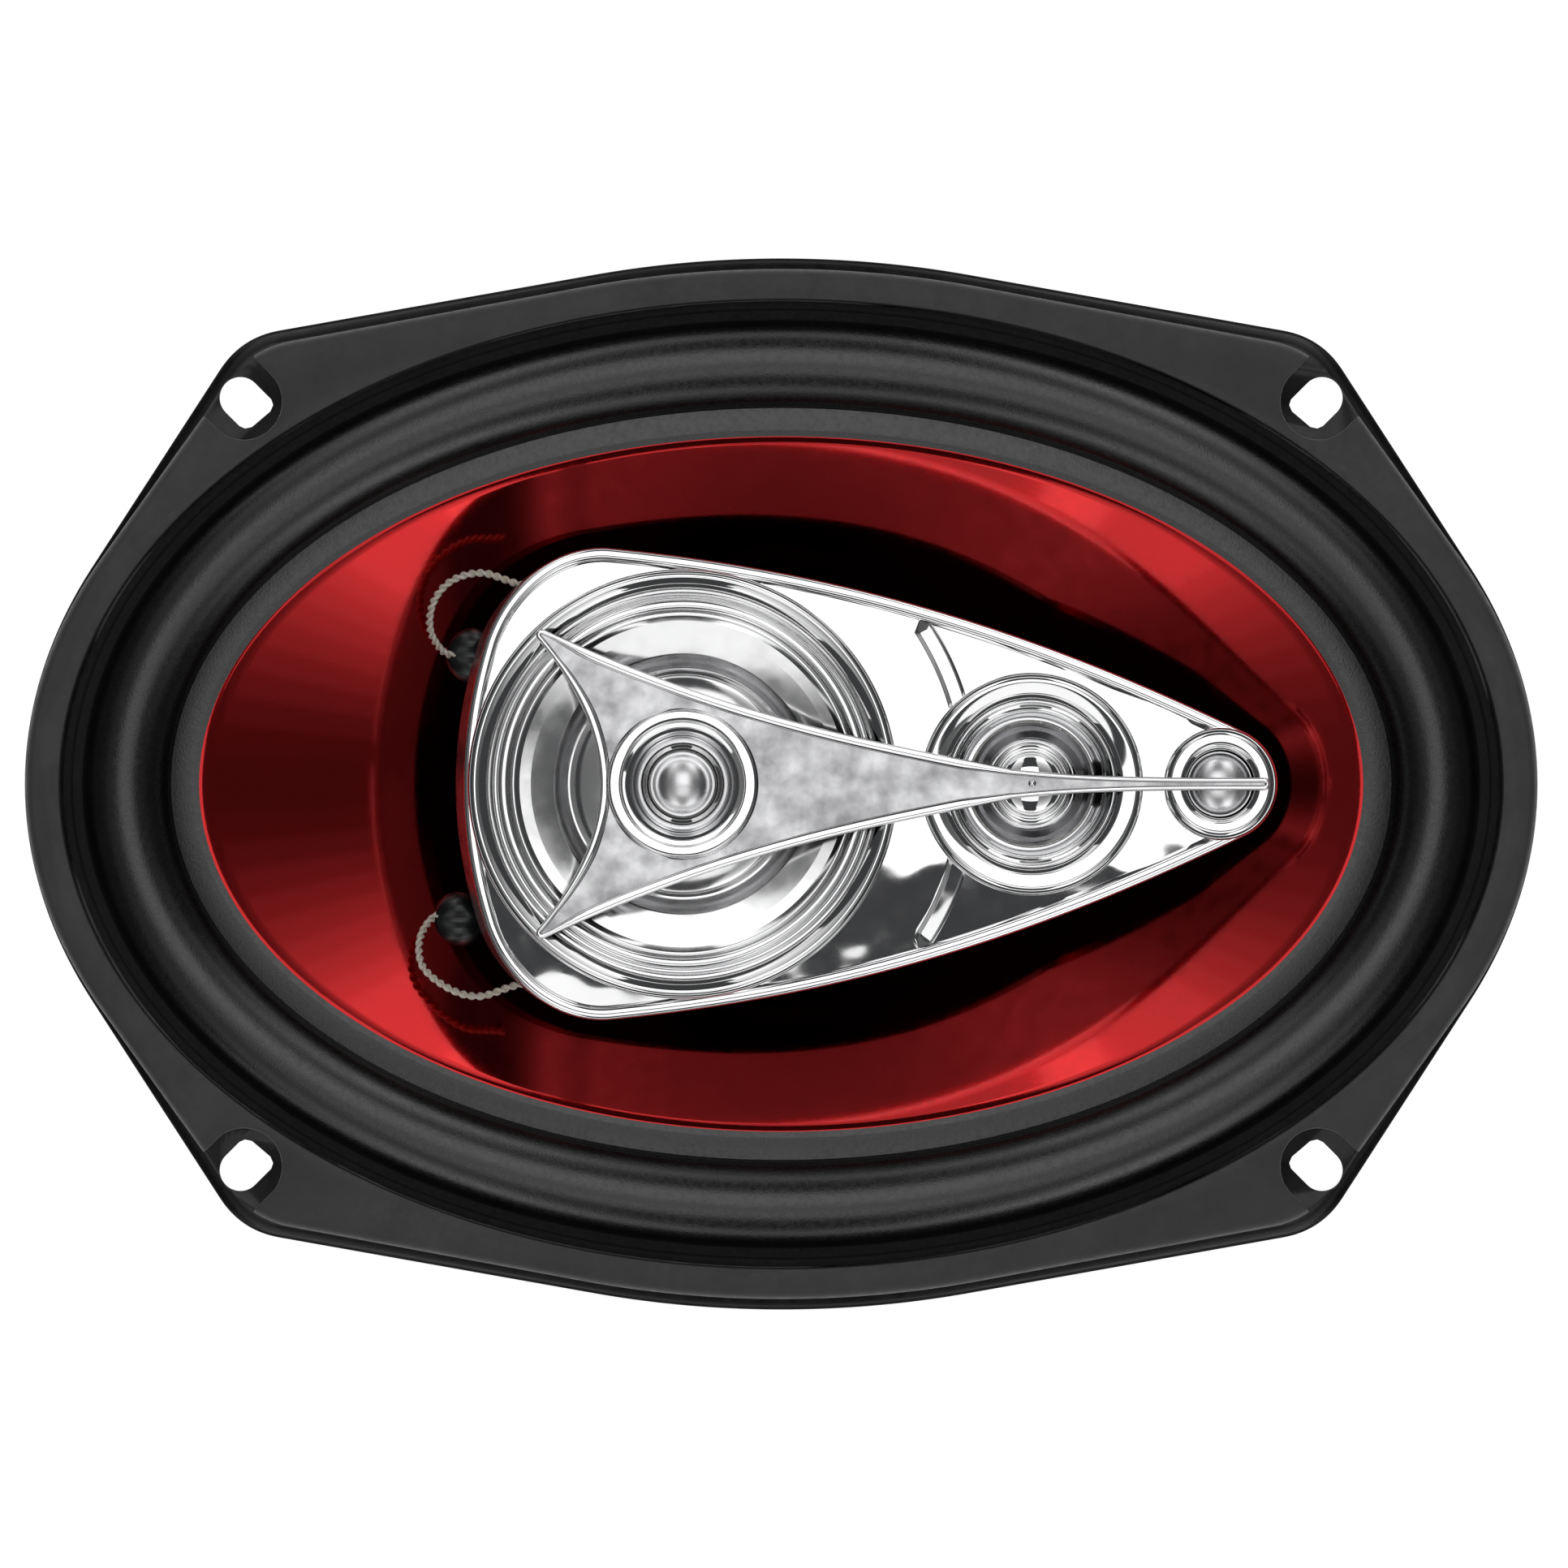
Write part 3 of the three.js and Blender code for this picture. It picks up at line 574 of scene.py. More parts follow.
def adhesive():
    return mottled(
        "glossy black adhesive", (2, 3, (0.004, 0.006, 0.007), (0.008, 0.011, 0.012)),
        (1.5, 3, 0.3, 0.38), (3, 1, 0.01),
        Coat_Weight=0.35, Coat_Roughness=0.16,
    )


def braid():
    return mottled(
        "tinsel and textile strands", (0.5, 4, (0.72, 0.64, 0.5), (0.97, 0.93, 0.84)),
        (0.4, 3, 0.35, 0.6), (0.15, 2, 0.04),
        Metallic=0.1, Sheen_Weight=0.3,
    )


def phenolic():
    made = Finish("brown phenolic board")
    made.colour(made.noise(0.7, 6, (1, 5, 1)), (0.1, 0.032, 0.012), (0.19, 0.07, 0.028))
    made.roughness(made.noise(1.5, 4), 0.4, 0.6)
    return made.relief(made.noise(0.4, 3, (1, 4, 1)), 0.02)


def tinned():
    return mottled(
        "tinned brass", (3, 5, (0.58, 0.55, 0.47), (0.72, 0.7, 0.64)), (0.6, 4, 0.2, 0.4), (0.8, 3, 0.012),
        Metallic=1.0,
    )


def capacitor_sleeve():
    made = Finish("blue shrink sleeve", Coat_Weight=0.5)
    made.colour(made.noise(3, 3), (0.012, 0.035, 0.1), (0.02, 0.05, 0.13))
    return made.roughness(made.noise(2, 3), 0.25, 0.4)


def wire_red():
    made = Finish("red wire insulation")
    made.colour(made.noise(3, 3), (0.3, 0.012, 0.01), (0.38, 0.02, 0.015))
    return made.roughness(made.noise(1, 3), 0.35, 0.5)


FINISHES = [
    black_steel, gasket, surround_rubber, surround_seat, red_cone, chrome_plastic, chrome_deck,
    chrome_side, chrome_field, satin_dome, silver_foil, dark_foil, zinc_steel, ferrite, copper, kapton,
    spider_cloth, black_plastic, adhesive, braid, phenolic, tinned, capacitor_sleeve, wire_red,
]
MATERIALS = {make.__name__: make().material for make in FINISHES}


def dress(shape, *slots):
    """Turns a finished piece into metres and gives it its materials."""
    shape.data.transform(Matrix.Scale(MM, 4))
    shape.data.materials.clear()
    for slot in slots:
        shape.data.materials.append(MATERIALS[slot])


def place(shape, body, slot, *nodes):
    """Gives a piece its material and slot, the CAD body it moves with, and the CAD nodes it stands for."""
    dress(shape, slot)
    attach(shape, body)
    if nodes:
        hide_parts(*nodes)


# ---------- Basket and gasket ----------

FLANGE = dict(a=117.5, b=81.65, ear_x=83.9, ear_y=69.4, corner=6)
GASKET = dict(a=117.2, b=79.8, ear_x=82, ear_y=67.5, corner=6)
FLANGE_HOLE = (106.2, 70.7)
GASKET_HOLE = (111.8, 75.1)
SLOT_X, SLOT_Y, SLOT_WIDTH = 83.2, 59.2, 6.4
SLOT_END = 1.1  # centre of a slot's round end, outwards from the slot's own centre
NOTCH_RADIUS = 5.9
WINDOW_OUTER, WINDOW_INNER = (98.4, 64.4), (58, 54.5)
WINDOW_CORNER = 4.0
SHELL_THICKNESS = 1.2
SHELF_TOP = 42.25  # where the spider's rim is glued
EARS = [(1, 1), (-1, 1), (-1, -1), (1, -1)]


def eared_ellipse(a, b, ear_x, ear_y, corner):
    """An ellipse with four ears, each the two tangents from its tip to the ellipse, with the tip rounded."""
    reach = math.hypot(ear_x / a, ear_y / b)
    centre = math.atan2(ear_y / b, ear_x / a)
    first, last = centre - math.acos(1 / reach), centre + math.acos(1 / reach)
    arcs = [(-first, first), (last, math.pi - last), (math.pi - first, math.pi + first),
            (math.pi + last, 2 * math.pi - last)]

    def at(angle):
        return Vector((a * math.cos(angle), b * math.sin(angle)))

    made = []
    for i, (start, stop) in enumerate(arcs):
        count = 40
        made += [tuple(at(start + (stop - start) * k / count)) for k in range(count + 1)]
        tip = Vector((EARS[i][0] * ear_x, EARS[i][1] * ear_y))
        leaving = tip + (at(stop) - tip).normalized() * corner
        joining = tip + (at(arcs[(i + 1) % 4][0]) - tip).normalized() * corner
        made += bezier(leaving, tip, joining, steps=12) + [tuple(joining)]
    return made


def ear_shape(points, sx, sy):
    """Points (outwards along the slot, across it) in one ear's frame, as an anticlockwise outline."""
    turn = math.sqrt(0.5)
    made = [(sx * (SLOT_X + turn * (u + v)), sy * (SLOT_Y + turn * (u - v))) for u, v in points]
    return made if sx * sy < 0 else made[::-1]


def slot_points():
    half = SLOT_WIDTH / 2
    turns = np.linspace(-math.pi / 2, math.pi / 2, 24)
    made = [(SLOT_END + half * math.cos(t), half * math.sin(t)) for t in turns]
    made += [(-1.9, half), (-2.8, half - 0.35), (-3.4, half - 1.3)]
    return made + [(-3.7, 1.4 - half), (-3.3, 0.4 - half), (-2.5, -half)]


def notch_points():
    made = arc(0, 0, NOTCH_RADIUS, 90, 270, 29) + [(0, -NOTCH_RADIUS)]
    return [(20, NOTCH_RADIUS), *made, (20, -NOTCH_RADIUS)]


def edged_plate(name, outline, z0, z1, edge):
    """A plate whose upper outer edge runs through points (inwards, downwards) from its corner."""
    rings = [[(x, y, z0) for x, y in outline]]
    for inwards, downwards in edge:
        rings.append([(x, y, z1 - downwards) for x, y in inset(outline, inwards)])
    return loft(name, rings)


ROLLED_EDGE = [(0, 0.95), (0.12, 0.8), (0.5, 0.55), (1.1, 0.28), (1.7, 0.09), (2.2, 0)]
GASKET_EDGE = [(0, 1.3), (0.15, 0.9), (0.5, 0.4), (0.95, 0.1), (1.4, 0)]


def woofer_oval(r):
    return r - 36.4


def basket_oval(r):
    """The basket's wall is round up to the spider's shelf and turns oval above it."""
    if r <= 45.5:
        return r
    if r <= 52:
        return 45.5 + (r - 45.5) * 4.5 / 6.5
    return 50 + (r - 52) * 18 / 51.5 if r < 103.5 else r - 35.5


def window_outline(angle):
    """A basket window in plan: between two ellipses and two legs, with rounded corners."""
    outer_half, inner_half = math.radians(22.5), math.radians(18.5)
    points = []
    for (a, b), first, count in ((WINDOW_OUTER, -outer_half, 40), (WINDOW_INNER, inner_half, 30)):
        for k, t in enumerate(np.linspace(first, -first, count)):
            corner = WINDOW_CORNER if k in (0, count - 1) else 0
            points.append((a * math.cos(angle + t), b * math.sin(angle + t), corner))
    return fillet(points, steps=8)


def make_basket():
    path = [
        (19, 27), (44, 27, 1.5), (45.5, 39.8, 3), (52, 41.0, 1.2), (103.5, 69, 4), (105.2, FLANGE_BACK, 1.2),
        (108, FLANGE_BACK),
    ]
    bowl = pressed("basket", path, SHELL_THICKNESS, segments=FINE, oval=basket_oval)
    for angle in range(30, 390, 60):
        cut(bowl, prism("window", window_outline(math.radians(angle)), 43.6, 69.5))
    bevel(bowl, 0.35)
    flange = edged_plate("flange", eared_ellipse(**FLANGE), FLANGE_BACK, FLANGE_TOP, ROLLED_EDGE)
    cut(flange, prism("hole", ellipse(*FLANGE_HOLE), 70, 80))
    for sx, sy in EARS:
        cut(flange, prism("slot", ear_shape(slot_points(), sx, sy), 70, 80))
    bevel(flange, 0.18)
    place(join(bowl, flange), "frame", "black_steel", "basket")


def make_gasket():
    outline = eared_ellipse(**GASKET)
    ring = edged_plate("front_gasket", outline, FLANGE_TOP + 0.02, GASKET_TOP, GASKET_EDGE)
    cut(ring, prism("hole", ellipse(*GASKET_HOLE), 70, 90))
    for sx, sy in EARS:
        cut(ring, prism("notch", ear_shape(notch_points(), sx, sy), 70, 90))
    bevel(ring, 0.25)
    place(ring, "frame", "gasket", "front_gasket")


# ---------- Woofer diaphragm ----------

NECK, NECK_Z = 17.0, low("cone").z
EDGE, EDGE_ACROSS = 90.2, 53.9
EDGE_Z = high("cone").z - 0.9
FLARE = 0.85


def cone_across(r):
    if r < EDGE:
        return NECK + (r - NECK) * (EDGE_ACROSS - NECK) / (EDGE - NECK)
    return EDGE_ACROSS + (r - EDGE)


def cone_z(t):
    return NECK_Z + (EDGE_Z - NECK_Z) * t**FLARE


def cone_height(x, y):
    """The height of the cone's back face over a point of the plan."""
    t, step = 0.5, 0.25
    while step > 1e-5:
        a, b = NECK + (EDGE - NECK) * t, NECK + (EDGE_ACROSS - NECK) * t
        t += step if math.hypot(x / a, y / b) > 1 else -step
        step /= 2
    return cone_z(t)


def make_cone():
    path = [(NECK + (EDGE - NECK) * t, cone_z(t)) for t in np.linspace(0, 1, 40)]
    path += [(EDGE + 0.4, EDGE_Z), (EDGE + 4.3, EDGE_Z)]
    cone = lathe("cone", thick(path, 0.9), segments=FINE, oval=cone_across, sharp=50)
    place(cone, "woofer", "red_cone", "cone")


def radial_weights(shape, fixed_radius, moving_radius, oval=None, centre_x=0):
    """Finds, for an oval, each vertex's radius and keeps nothing of it, so the ring gets no blend.
    fixed_radius and moving_radius are not used.
    """
    for vertex in shape.data.vertices:
        x, y = vertex.co.x / MM, vertex.co.y / MM
        if oval:
            near, far = 0.0, 200.0
            for _ in range(30):
                r = (near + far) / 2
                inside = oval(r) > 0 and math.hypot(x / r, y / oval(r)) < 1
                near, far = (near, r) if inside else (r, far)


def flexing_ring(shape, slot, node, moving, fixed_radius, moving_radius, **shape_options):
    """A ring from the frame to a body's edge: it gets its material and hides its CAD node, but is attached to
    no body.
    """
    dress(shape, slot)
    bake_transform(shape)
    radial_weights(shape, fixed_radius, moving_radius, **shape_options)
    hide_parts(node)


# Outside SEAT_RADIUS the surround's rubber is dulled as painted shade for the recess.
SEAT_RADIUS = 107.6  # outside it the surround lies flat on the flange


def make_surround():
    lip_z = EDGE_Z + 0.95
    path = [(111.3, FLANGE_TOP + 0.05), (110.6, FLANGE_TOP + 0.05, 0.3), (110.2, FLANGE_TOP - 0.3, 0.3)]
    path += [(108.2, FLANGE_TOP - 0.3, 0.9)]
    for k in range(1, 24):
        angle = math.pi * k / 24
        base = FLANGE_TOP - 0.3 + (lip_z - FLANGE_TOP + 0.3) * k / 24
        path.append((101.6 + 6 * math.cos(angle), base + 4.4 * math.sin(angle), 0))
    path += [(95.2, lip_z, 0.9), (91.4, lip_z, 0.3), (90.5, lip_z - 0.1)]
    surround = pressed("surround", path, -0.8, steps=4, segments=FINE, oval=woofer_oval, sharp=45)
    flexing_ring(surround, "surround_rubber", "surround", "woofer", 107.5, 95.5, oval=woofer_oval)
    # The ring outside SEAT_RADIUS gets the duller rubber, as painted shade.
    surround.data.materials.append(MATERIALS["surround_seat"])
    for face in surround.data.polygons:
        x, y = face.center.x / MM, face.center.y / MM
        face.material_index = int(math.hypot(x / SEAT_RADIUS, y / woofer_oval(SEAT_RADIUS)) > 1)


def make_spider():
    path = [(48.6, SHELF_TOP), (45, SHELF_TOP, 0.6)]
    rolls = 13
    for k in range(rolls * 8 + 1):
        r = 44 - (44 - 19.5) * k / (rolls * 8)
        path.append((r, SHELF_TOP + 0.35 + 1.1 * math.sin(k / 8 * 2 * math.pi), 0))
    path += [(17.6, SHELF_TOP + 0.2, 0.5), (16.6, SHELF_TOP + 1.2)]
    spider = pressed("spider", path, -0.6, steps=4, sharp=50)
    flexing_ring(spider, "spider_cloth", "spider", "woofer", 45, 18)


def make_motor():
    yoke = turned("yoke", [
        (5.4, BACK, 0.3), (39.6, BACK, 0.8), (41, 1.4, 0.8), (41, 6, 0.3), (15, 6, 0.6), (15, 27.4, 0.3),
        (14.6, 28), (3, 28), (3, 4), (5.4, 4),
    ], segments=FINE)
    place(yoke, "frame", "zinc_steel", "yoke")
    magnet = turned("magnet", [
        (24, MAGNET_LOW), (44, MAGNET_LOW, 0.3), (45, 7, 0.3), (45, 21, 0.3), (44, MAGNET_HIGH, 0.3),
        (24, MAGNET_HIGH),
    ], segments=FINE)
    place(magnet, "frame", "ferrite", "magnet")
    plate = turned("top_plate", [
        (18, 22), (41, 22, 0.5), (41, PLATE_HIGH, 0.5), (18, PLATE_HIGH),
    ], segments=FINE)
    place(plate, "frame", "zinc_steel", "top_plate")


def make_column():
    """The column that carries the housing, and the bolt through it."""
    column = turned("centre_column", [
        (3, 28), (9, 28, 0.4), (9, 64.5, 4), (14, 68.6, 1), (14, BASE_Z, 0.2), (3, BASE_Z),
    ])
    place(column, "frame", "black_plastic", "centre_column")
    bolt = turned("column_bolt", [
        (0, 1.3), (1.4, 1.3, 0.2), (1.9, 0.7, 0.2), (4.0, 0.7, 0.4), (4.4, 1.4, 0.3), (4.4, 4), (2.5, 4),
        (2.5, 75.4), (2.1, 76), (0, 76),
    ])
    place(bolt, "frame", "zinc_steel", "column_bolt")


def make_voice_coil():
    former = turned("voice_coil_former", [(15.8, 19), (16.3, 19), (16.3, 47), (15.8, 47)])
    place(former, "woofer", "kapton", "voice_coil_former")
    coil = turned("voice_coil", [(16.4, 19.3, 0.2), (17.2, 19.3, 0.2), (17.2, 31, 0.2), (16.4, 31, 0.2)])
    place(coil, "woofer", "copper", "voice_coil")


def dust_ring_oval(r):
    return r if r < 15 else 15 + (r - 15) * 5.6 / 9.2


def make_dust_ring():
    """The ring that closes the gap between the cone's neck and the column."""
    ring_low = low("dust_ring").z
    ring = pressed("dust_ring", [
        (10.6, ring_low + 1.7), (13, ring_low + 1.6, 1), (15, ring_low + 1.3, 1), (24.2, ring_low),
    ], 0.7, oval=dust_ring_oval)
    place(ring, "woofer", "surround_rubber", "dust_ring")


# ---------- Leads, their adhesive and the terminals ----------

STRANDS = 2
STRAND_PITCH = 2.7
STRAND_RADIUS, STRAND_OFFSET = 0.33, 0.31


def flexing_lead(name, route):
    """A lead of twisted strands that runs between the frame and the woofer; it is attached to no body."""
    line = spline(route, 0.22)
    strands = []
    twist = 2 * math.pi / STRAND_PITCH
    for k in range(STRANDS):
        phase = 2 * math.pi * k / STRANDS
        rings = strand_rings(line, STRAND_RADIUS, 8, twist, STRAND_OFFSET, phase)
        strands.append(loft(name, rings, sharp=60))
    lead = join(*strands)
    smooth(lead, 60)
    dress(lead, "braid")
    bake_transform(lead)
    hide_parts(name)


FRONT_LEAD = [
    (-50.2, 20.4, 64.9), (-52.6, 20.5, 66.2), (-54.7, 23.8, 69.7), (-54.2, 28.2, 72.4), (-51.3, 31.6, 74),
    (-46.6, 32.8, 75), (-41.6, 31.3, 75), (-38.2, 30.4, 75),
]
REAR_LEAD = [
    (-92.1, 10.8, 59.6), (-90.6, 11.6, 62.9), (-84, 13.4, 64.6), (-74.5, 15.8, 62.6), (-65, 18, 59.6),
    (-57, 19.6, 59.7), (-51.2, 20.4, 61.6),
]


def make_leads():
    flexing_lead("front_lead_upper", FRONT_LEAD)
    lower = [(x - (1.6 if i < 4 else 0.4), -y - 0.2, z) for i, (x, y, z) in enumerate(FRONT_LEAD)]
    flexing_lead("front_lead_lower", lower)
    flexing_lead("rear_lead_upper", REAR_LEAD)
    flexing_lead("rear_lead_lower", [(x, -y, z) for x, y, z in REAR_LEAD])


DAB_ALONG, DAB_ACROSS, DAB_TALL = 4.0, 4.4, 2.9


def dab_point(x, y, z, centre, base):
    """A point of a blob, from one of a unit ball: creased on top where the lead lies, and a little lumpy."""
    crease = 1 - 0.3 * math.exp(-((y / 0.3) ** 2)) * max(z, 0)
    lump = 1 + 0.05 * noise.noise(Vector((x + centre.y, y, z)))
    across = centre.y + DAB_ACROSS * y * lump
    return centre.x + DAB_ALONG * x * lump, across, base + DAB_TALL * z * crease * lump


def make_dabs():
    """Blobs of adhesive on the joints between the front leads and the cone."""
    rows, columns = 40, 64
    for name in ("lead_dab_upper", "lead_dab_lower"):
        centre = middle(name)
        base = cone_height(centre.x, centre.y) + 1.4
        points, faces = [], []
        for i in range(rows + 1):
            tilt = math.pi * i / rows
            for k in range(columns):
                turn = 2 * math.pi * k / columns
                y, z = math.sin(tilt) * math.cos(turn), math.sin(tilt) * math.sin(turn)
                points.append(dab_point(math.cos(tilt), y, z, centre, base))
        for i in range(rows):
            for k in range(columns):
                n = (k + 1) % columns
                a, b = i * columns, (i + 1) * columns
                faces.append((a + k, b + k, b + n, a + n))
        dab = mesh_object(name, points, faces, 60)
        place(outward(merge_close(dab)), "woofer", "adhesive", name)


def make_terminals():
    """The blades get a chamfered tip and a locking hole; the board and rivets keep their CAD shape."""
    tilt = math.pi + math.atan2(27, 51.5)  # along the basket's wall
    stand = Matrix.Translation((-80.3, 0, 55.65)) @ Matrix.Rotation(tilt, 4, "Y")
    for name, y, width in (("terminal_positive", 10.5, 6.3), ("terminal_negative", -10.5, 4.8)):
        half = width / 2
        outline = [
            (-20, y - half + 1.2), (-18.6, y - half), (11.5, y - half), (11.5, y + half), (-18.6, y + half),
            (-20, y + half - 1.2),
        ]
        blade = prism(name, outline, 2.4, 3.2)
        cut(blade, prism("hole", ellipse(0.85, 0.85, 32, -15.4, y), 0, 6))
        bevel(blade, 0.14, 30)
        blade.data.transform(stand)
        place(blade, "frame", "tinned", name)
    keep_node("terminal_board", "phenolic", 0.25)
    for k in (1, 2):
        keep_node(f"terminal_rivet_{k}", "tinned", 0.15)


def keep_node(node, slot, edge):
    """A CAD node that stays: it gets its material, and soft edges from a modifier."""
    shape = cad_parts[node]
    shape.data.materials.clear()
    shape.data.materials.append(MATERIALS[slot])
    soften(shape, edge * MM, 35)


# ---------- Housing ----------

TIP_RADIUS, TIP_TURN = 8.9, math.radians(66.7)
TIP_Z = 75.5
BROAD_Z = 71.5
SKIRT_FLARE = 1.6


def housing_outline():
    """The housing in plan, anticlockwise: a round tip, long convex sides and a broad, gently curved end."""
    turns = np.linspace(-TIP_TURN, TIP_TURN, 40)
    tip = [(SUPER_X + TIP_RADIUS * math.cos(t), TIP_RADIUS * math.sin(t)) for t in turns]
    side = bezier(tip[-1], (43.2, 21.7), (14, 32.4), (-26, 36.4), steps=60)
    side += bezier((-26, 36.4), (-34, 37.3), (-42.4, 31.6), (-45.7, 22.2), steps=26)
    broad = bezier((-45.7, 22.2), (-52.5, 0), (-45.7, -22.2), steps=40)
    mirrored = [(x, -y) for x, y in reversed([*side[1:], broad[0]])]
    return tip[:-1] + side + broad + mirrored


def deck_crown(y):
    """How far the deck falls towards its sides."""
    return 0.0008 * y * y


STEP_RADIUS = 45.9  # from the midrange's axis to the step across the deck
STEP = [  # the step, as distance inwards and height from the housing's top
    (0, -1.15), (0.15, -0.95), (0.5, -0.78), (0.65, -0.755), (2.4, -0.74), (2.55, -0.72), (2.95, -0.5),
    (3.15, -0.46), (3.5, -0.45),
]


def plateau():
    """The high part of the deck, round the midrange. It ends in a curved step that faces the tweeters."""
    edge = inset(housing_outline(), 0.9)
    outline, free = [], []
    for k in range(FINE):
        turn = 2 * math.pi * k / FINE
        reach = Vector((math.cos(turn), math.sin(turn)))
        for (ax, ay), (bx, by) in zip(edge, edge[1:] + edge[:1]):
            crossing = Vector((bx - ax, by - ay)).cross(reach)
            if abs(crossing) < 1e-9:
                continue
            out = Vector((ax - MID_X, ay)).cross(Vector((bx - ax, by - ay))) / -crossing
            along = Vector((ax - MID_X, ay)).cross(reach) / -crossing
            if out > 0 and 0 <= along <= 1:
                stop = min(out, STEP_RADIUS)
                outline.append((MID_X + reach.x * stop, reach.y * stop))
                free.append(out > STEP_RADIUS)
                break
    rings = [[(x, y, DECK_Z - 2.6) for x, y in outline]]
    for d, z in STEP:
        ring = []
        for (x, y), (inner_x, inner_y), stepped in zip(outline, inset(outline, 1), free):
            reach, level = (d, z) if stepped else (d * 0.1, STEP[-1][1])
            x, y = x + (inner_x - x) * reach, y + (inner_y - y) * reach
            ring.append((x, y, DECK_Z + level - deck_crown(y)))
        rings.append(ring)
    shoulder = rings[-1]
    for share in np.linspace(0.97, 0.3, 20):
        ring = [(MID_X + (x - MID_X) * share, y * share) for x, y, _ in shoulder]
        rings.append([(x, y, DECK_Z + STEP[-1][1] - deck_crown(y)) for x, y in ring])
    return loft("plateau", rings, sharp=40)


def skirt_bottom(x):
    """The skirt's lower edge, which rises towards both ends."""
    if x < 0:
        return BASE_Z + (BROAD_Z - BASE_Z) * clamp((-x - 28) / 16)
    return BASE_Z + (TIP_Z - BASE_Z) * clamp((x - 38) / 22)


HOUSING_RIM = [(0, -0.6), (0.08, -0.3), (0.25, -0.1), (0.55, 0.0), (1.3, 0.0), (1.7, -0.08), (1.95, -0.35)]


def make_shell():
    outline = housing_outline()
    rings = []
    for share in np.linspace(0, 1, 8):
        ring = []
        for x, y in outline:
            flare = SKIRT_FLARE * clamp((-x - 25) / 24) * (1 - share)
            z0 = skirt_bottom(x)
            ring.append((x - flare, y, z0 + (DECK_Z - 1.9 - z0) * share))
        rings.append(ring)
    for d, z in HOUSING_RIM:
        rings.append([(x, y, DECK_Z + z) for x, y in inset(outline, d)])
    edge = inset(outline, 2.35)
    for share in np.linspace(1, 0.004, 30):
        rings.append([(x * share, y * share, DECK_Z - 1.1 - deck_crown(y * share)) for x, y in edge])
    under = inset(outline, 1.6)
    for share in (0.004, 0.5, 1):
        rings.append([(x * share, y * share, DECK_Z - 2.9) for x, y in under])
    rings.append([(x, y, skirt_bottom(x)) for x, y in under])
    shell, high_deck = loft("housing_shell", rings, close=True, sharp=40), plateau()
    for piece in (shell, high_deck):
        for x, radius in ((MID_X, 31.0), (TWEETER_X, 14.4), (SUPER_X, 6.4)):
            cut(piece, prism("opening", ellipse(radius, radius, ROUND, x), 76, 90))
    smooth(join(shell, high_deck), 40)
    place(shell, "frame", "chrome_plastic", "housing_shell")
    shell.data.materials.append(MATERIALS["chrome_deck"])
    shell.data.materials.append(MATERIALS["chrome_side"])
    for face in shell.data.polygons:
        z = face.center.z / MM
        if abs(face.normal.z) < 0.3 and z < DECK_Z - 1.9:
            face.material_index = 2
        elif face.normal.z > 0.97 and z < DECK_Z - 0.3:
            face.material_index = 1


def bridge_outline():
    """The bridge in plan, anticlockwise: a long arm over the tweeters and two short arms at the broad end."""
    upper = arc(74.4, 0, 1.0, 0, 90, 8)
    upper += bezier((74.4, 1.0), (62, 1), (48, 0.9), (35.4, 2.3), steps=40)
    upper += bezier((35.4, 2.3), (15, 6.6), (-6, 9.6), (-36.5, 23.8), steps=60)
    upper += arc(-36.9, 23.0, 0.9, 65, 220, 10)
    upper += bezier((-37.6, 22.4), (-27.9, 11), (-27.9, 0), steps=50)
    lower = [(x, -y) for x, y in reversed(upper)][:-1]
    return upper + [(-27.9, 0)] + lower


def rim_inset(outline, distance):
    """The inner edge of the bridge's raised rim, which is broad on its middle and narrow on its ends."""
    made = []
    for (x, y), (inner_x, inner_y) in zip(outline, inset(outline, 1)):
        broad = clamp((36 - x) / 8) * clamp((x + 35) / 5)
        reach = distance + 0.75 * broad
        made.append((x + (inner_x - x) * reach, y + (inner_y - y) * reach))
    return made


def make_bridge():
    outline = bridge_outline()
    rings = [[(x, y, BRIDGE_LOW) for x, y in outline]]
    for d, z in ((0, -0.45), (0.05, -0.18), (0.16, -0.04), (0.26, 0.0)):
        rings.append([(x, y, BRIDGE_HIGH + z) for x, y in inset(outline, d)])
    for d, z in ((0.66, 0.0), (0.76, -0.08), (0.82, -0.3), (0.86, -0.5)):
        rings.append([(x, y, BRIDGE_HIGH + z) for x, y in rim_inset(outline, d)])
    bridge = loft("bridge", rings, sharp=50)
    cut(bridge, prism("hole", ellipse(9.9, 9.9, ROUND, MID_X), BRIDGE_LOW - 1, BRIDGE_HIGH + 1))
    pin = turned("pin", [
        (0, 87.2), (0.6, 87.2), (0.6, 87.9, 0.3), (0, 88.1),
    ], centre=(TWEETER_X, 0.1), segments=32)
    join(bridge, pin)
    smooth(bridge, 50)
    place(bridge, "frame", "chrome_plastic", "bridge")
    bridge.data.materials.append(MATERIALS["chrome_field"])
    for face in bridge.data.polygons:
        field = face.normal.z > 0.99 and abs(face.center.z / MM - (BRIDGE_HIGH - 0.5)) < 0.05
        face.material_index = 1 if field else 0


def trim_ring(name, x, inner, spigot, outer, dished=0.6):
    """A bright ring that stands on the deck: flat on top, dished towards its middle."""
    foot = DECK_Z - 1.9
    ring = turned(name, [
        (inner, DECK_Z - 1.7), (spigot, DECK_Z - 1.7), (spigot, foot), (outer, foot),
        (outer, TRIM_TOP - 0.9, 0.9), (outer - 0.9, TRIM_TOP, 1.2), (inner + 0.8, TRIM_TOP - dished, 0.5),
        (inner, TRIM_TOP - dished - 0.6, 0.3),
    ], centre=(x, 0), segments=FINE)
    place(ring, "frame", "chrome_plastic", name)


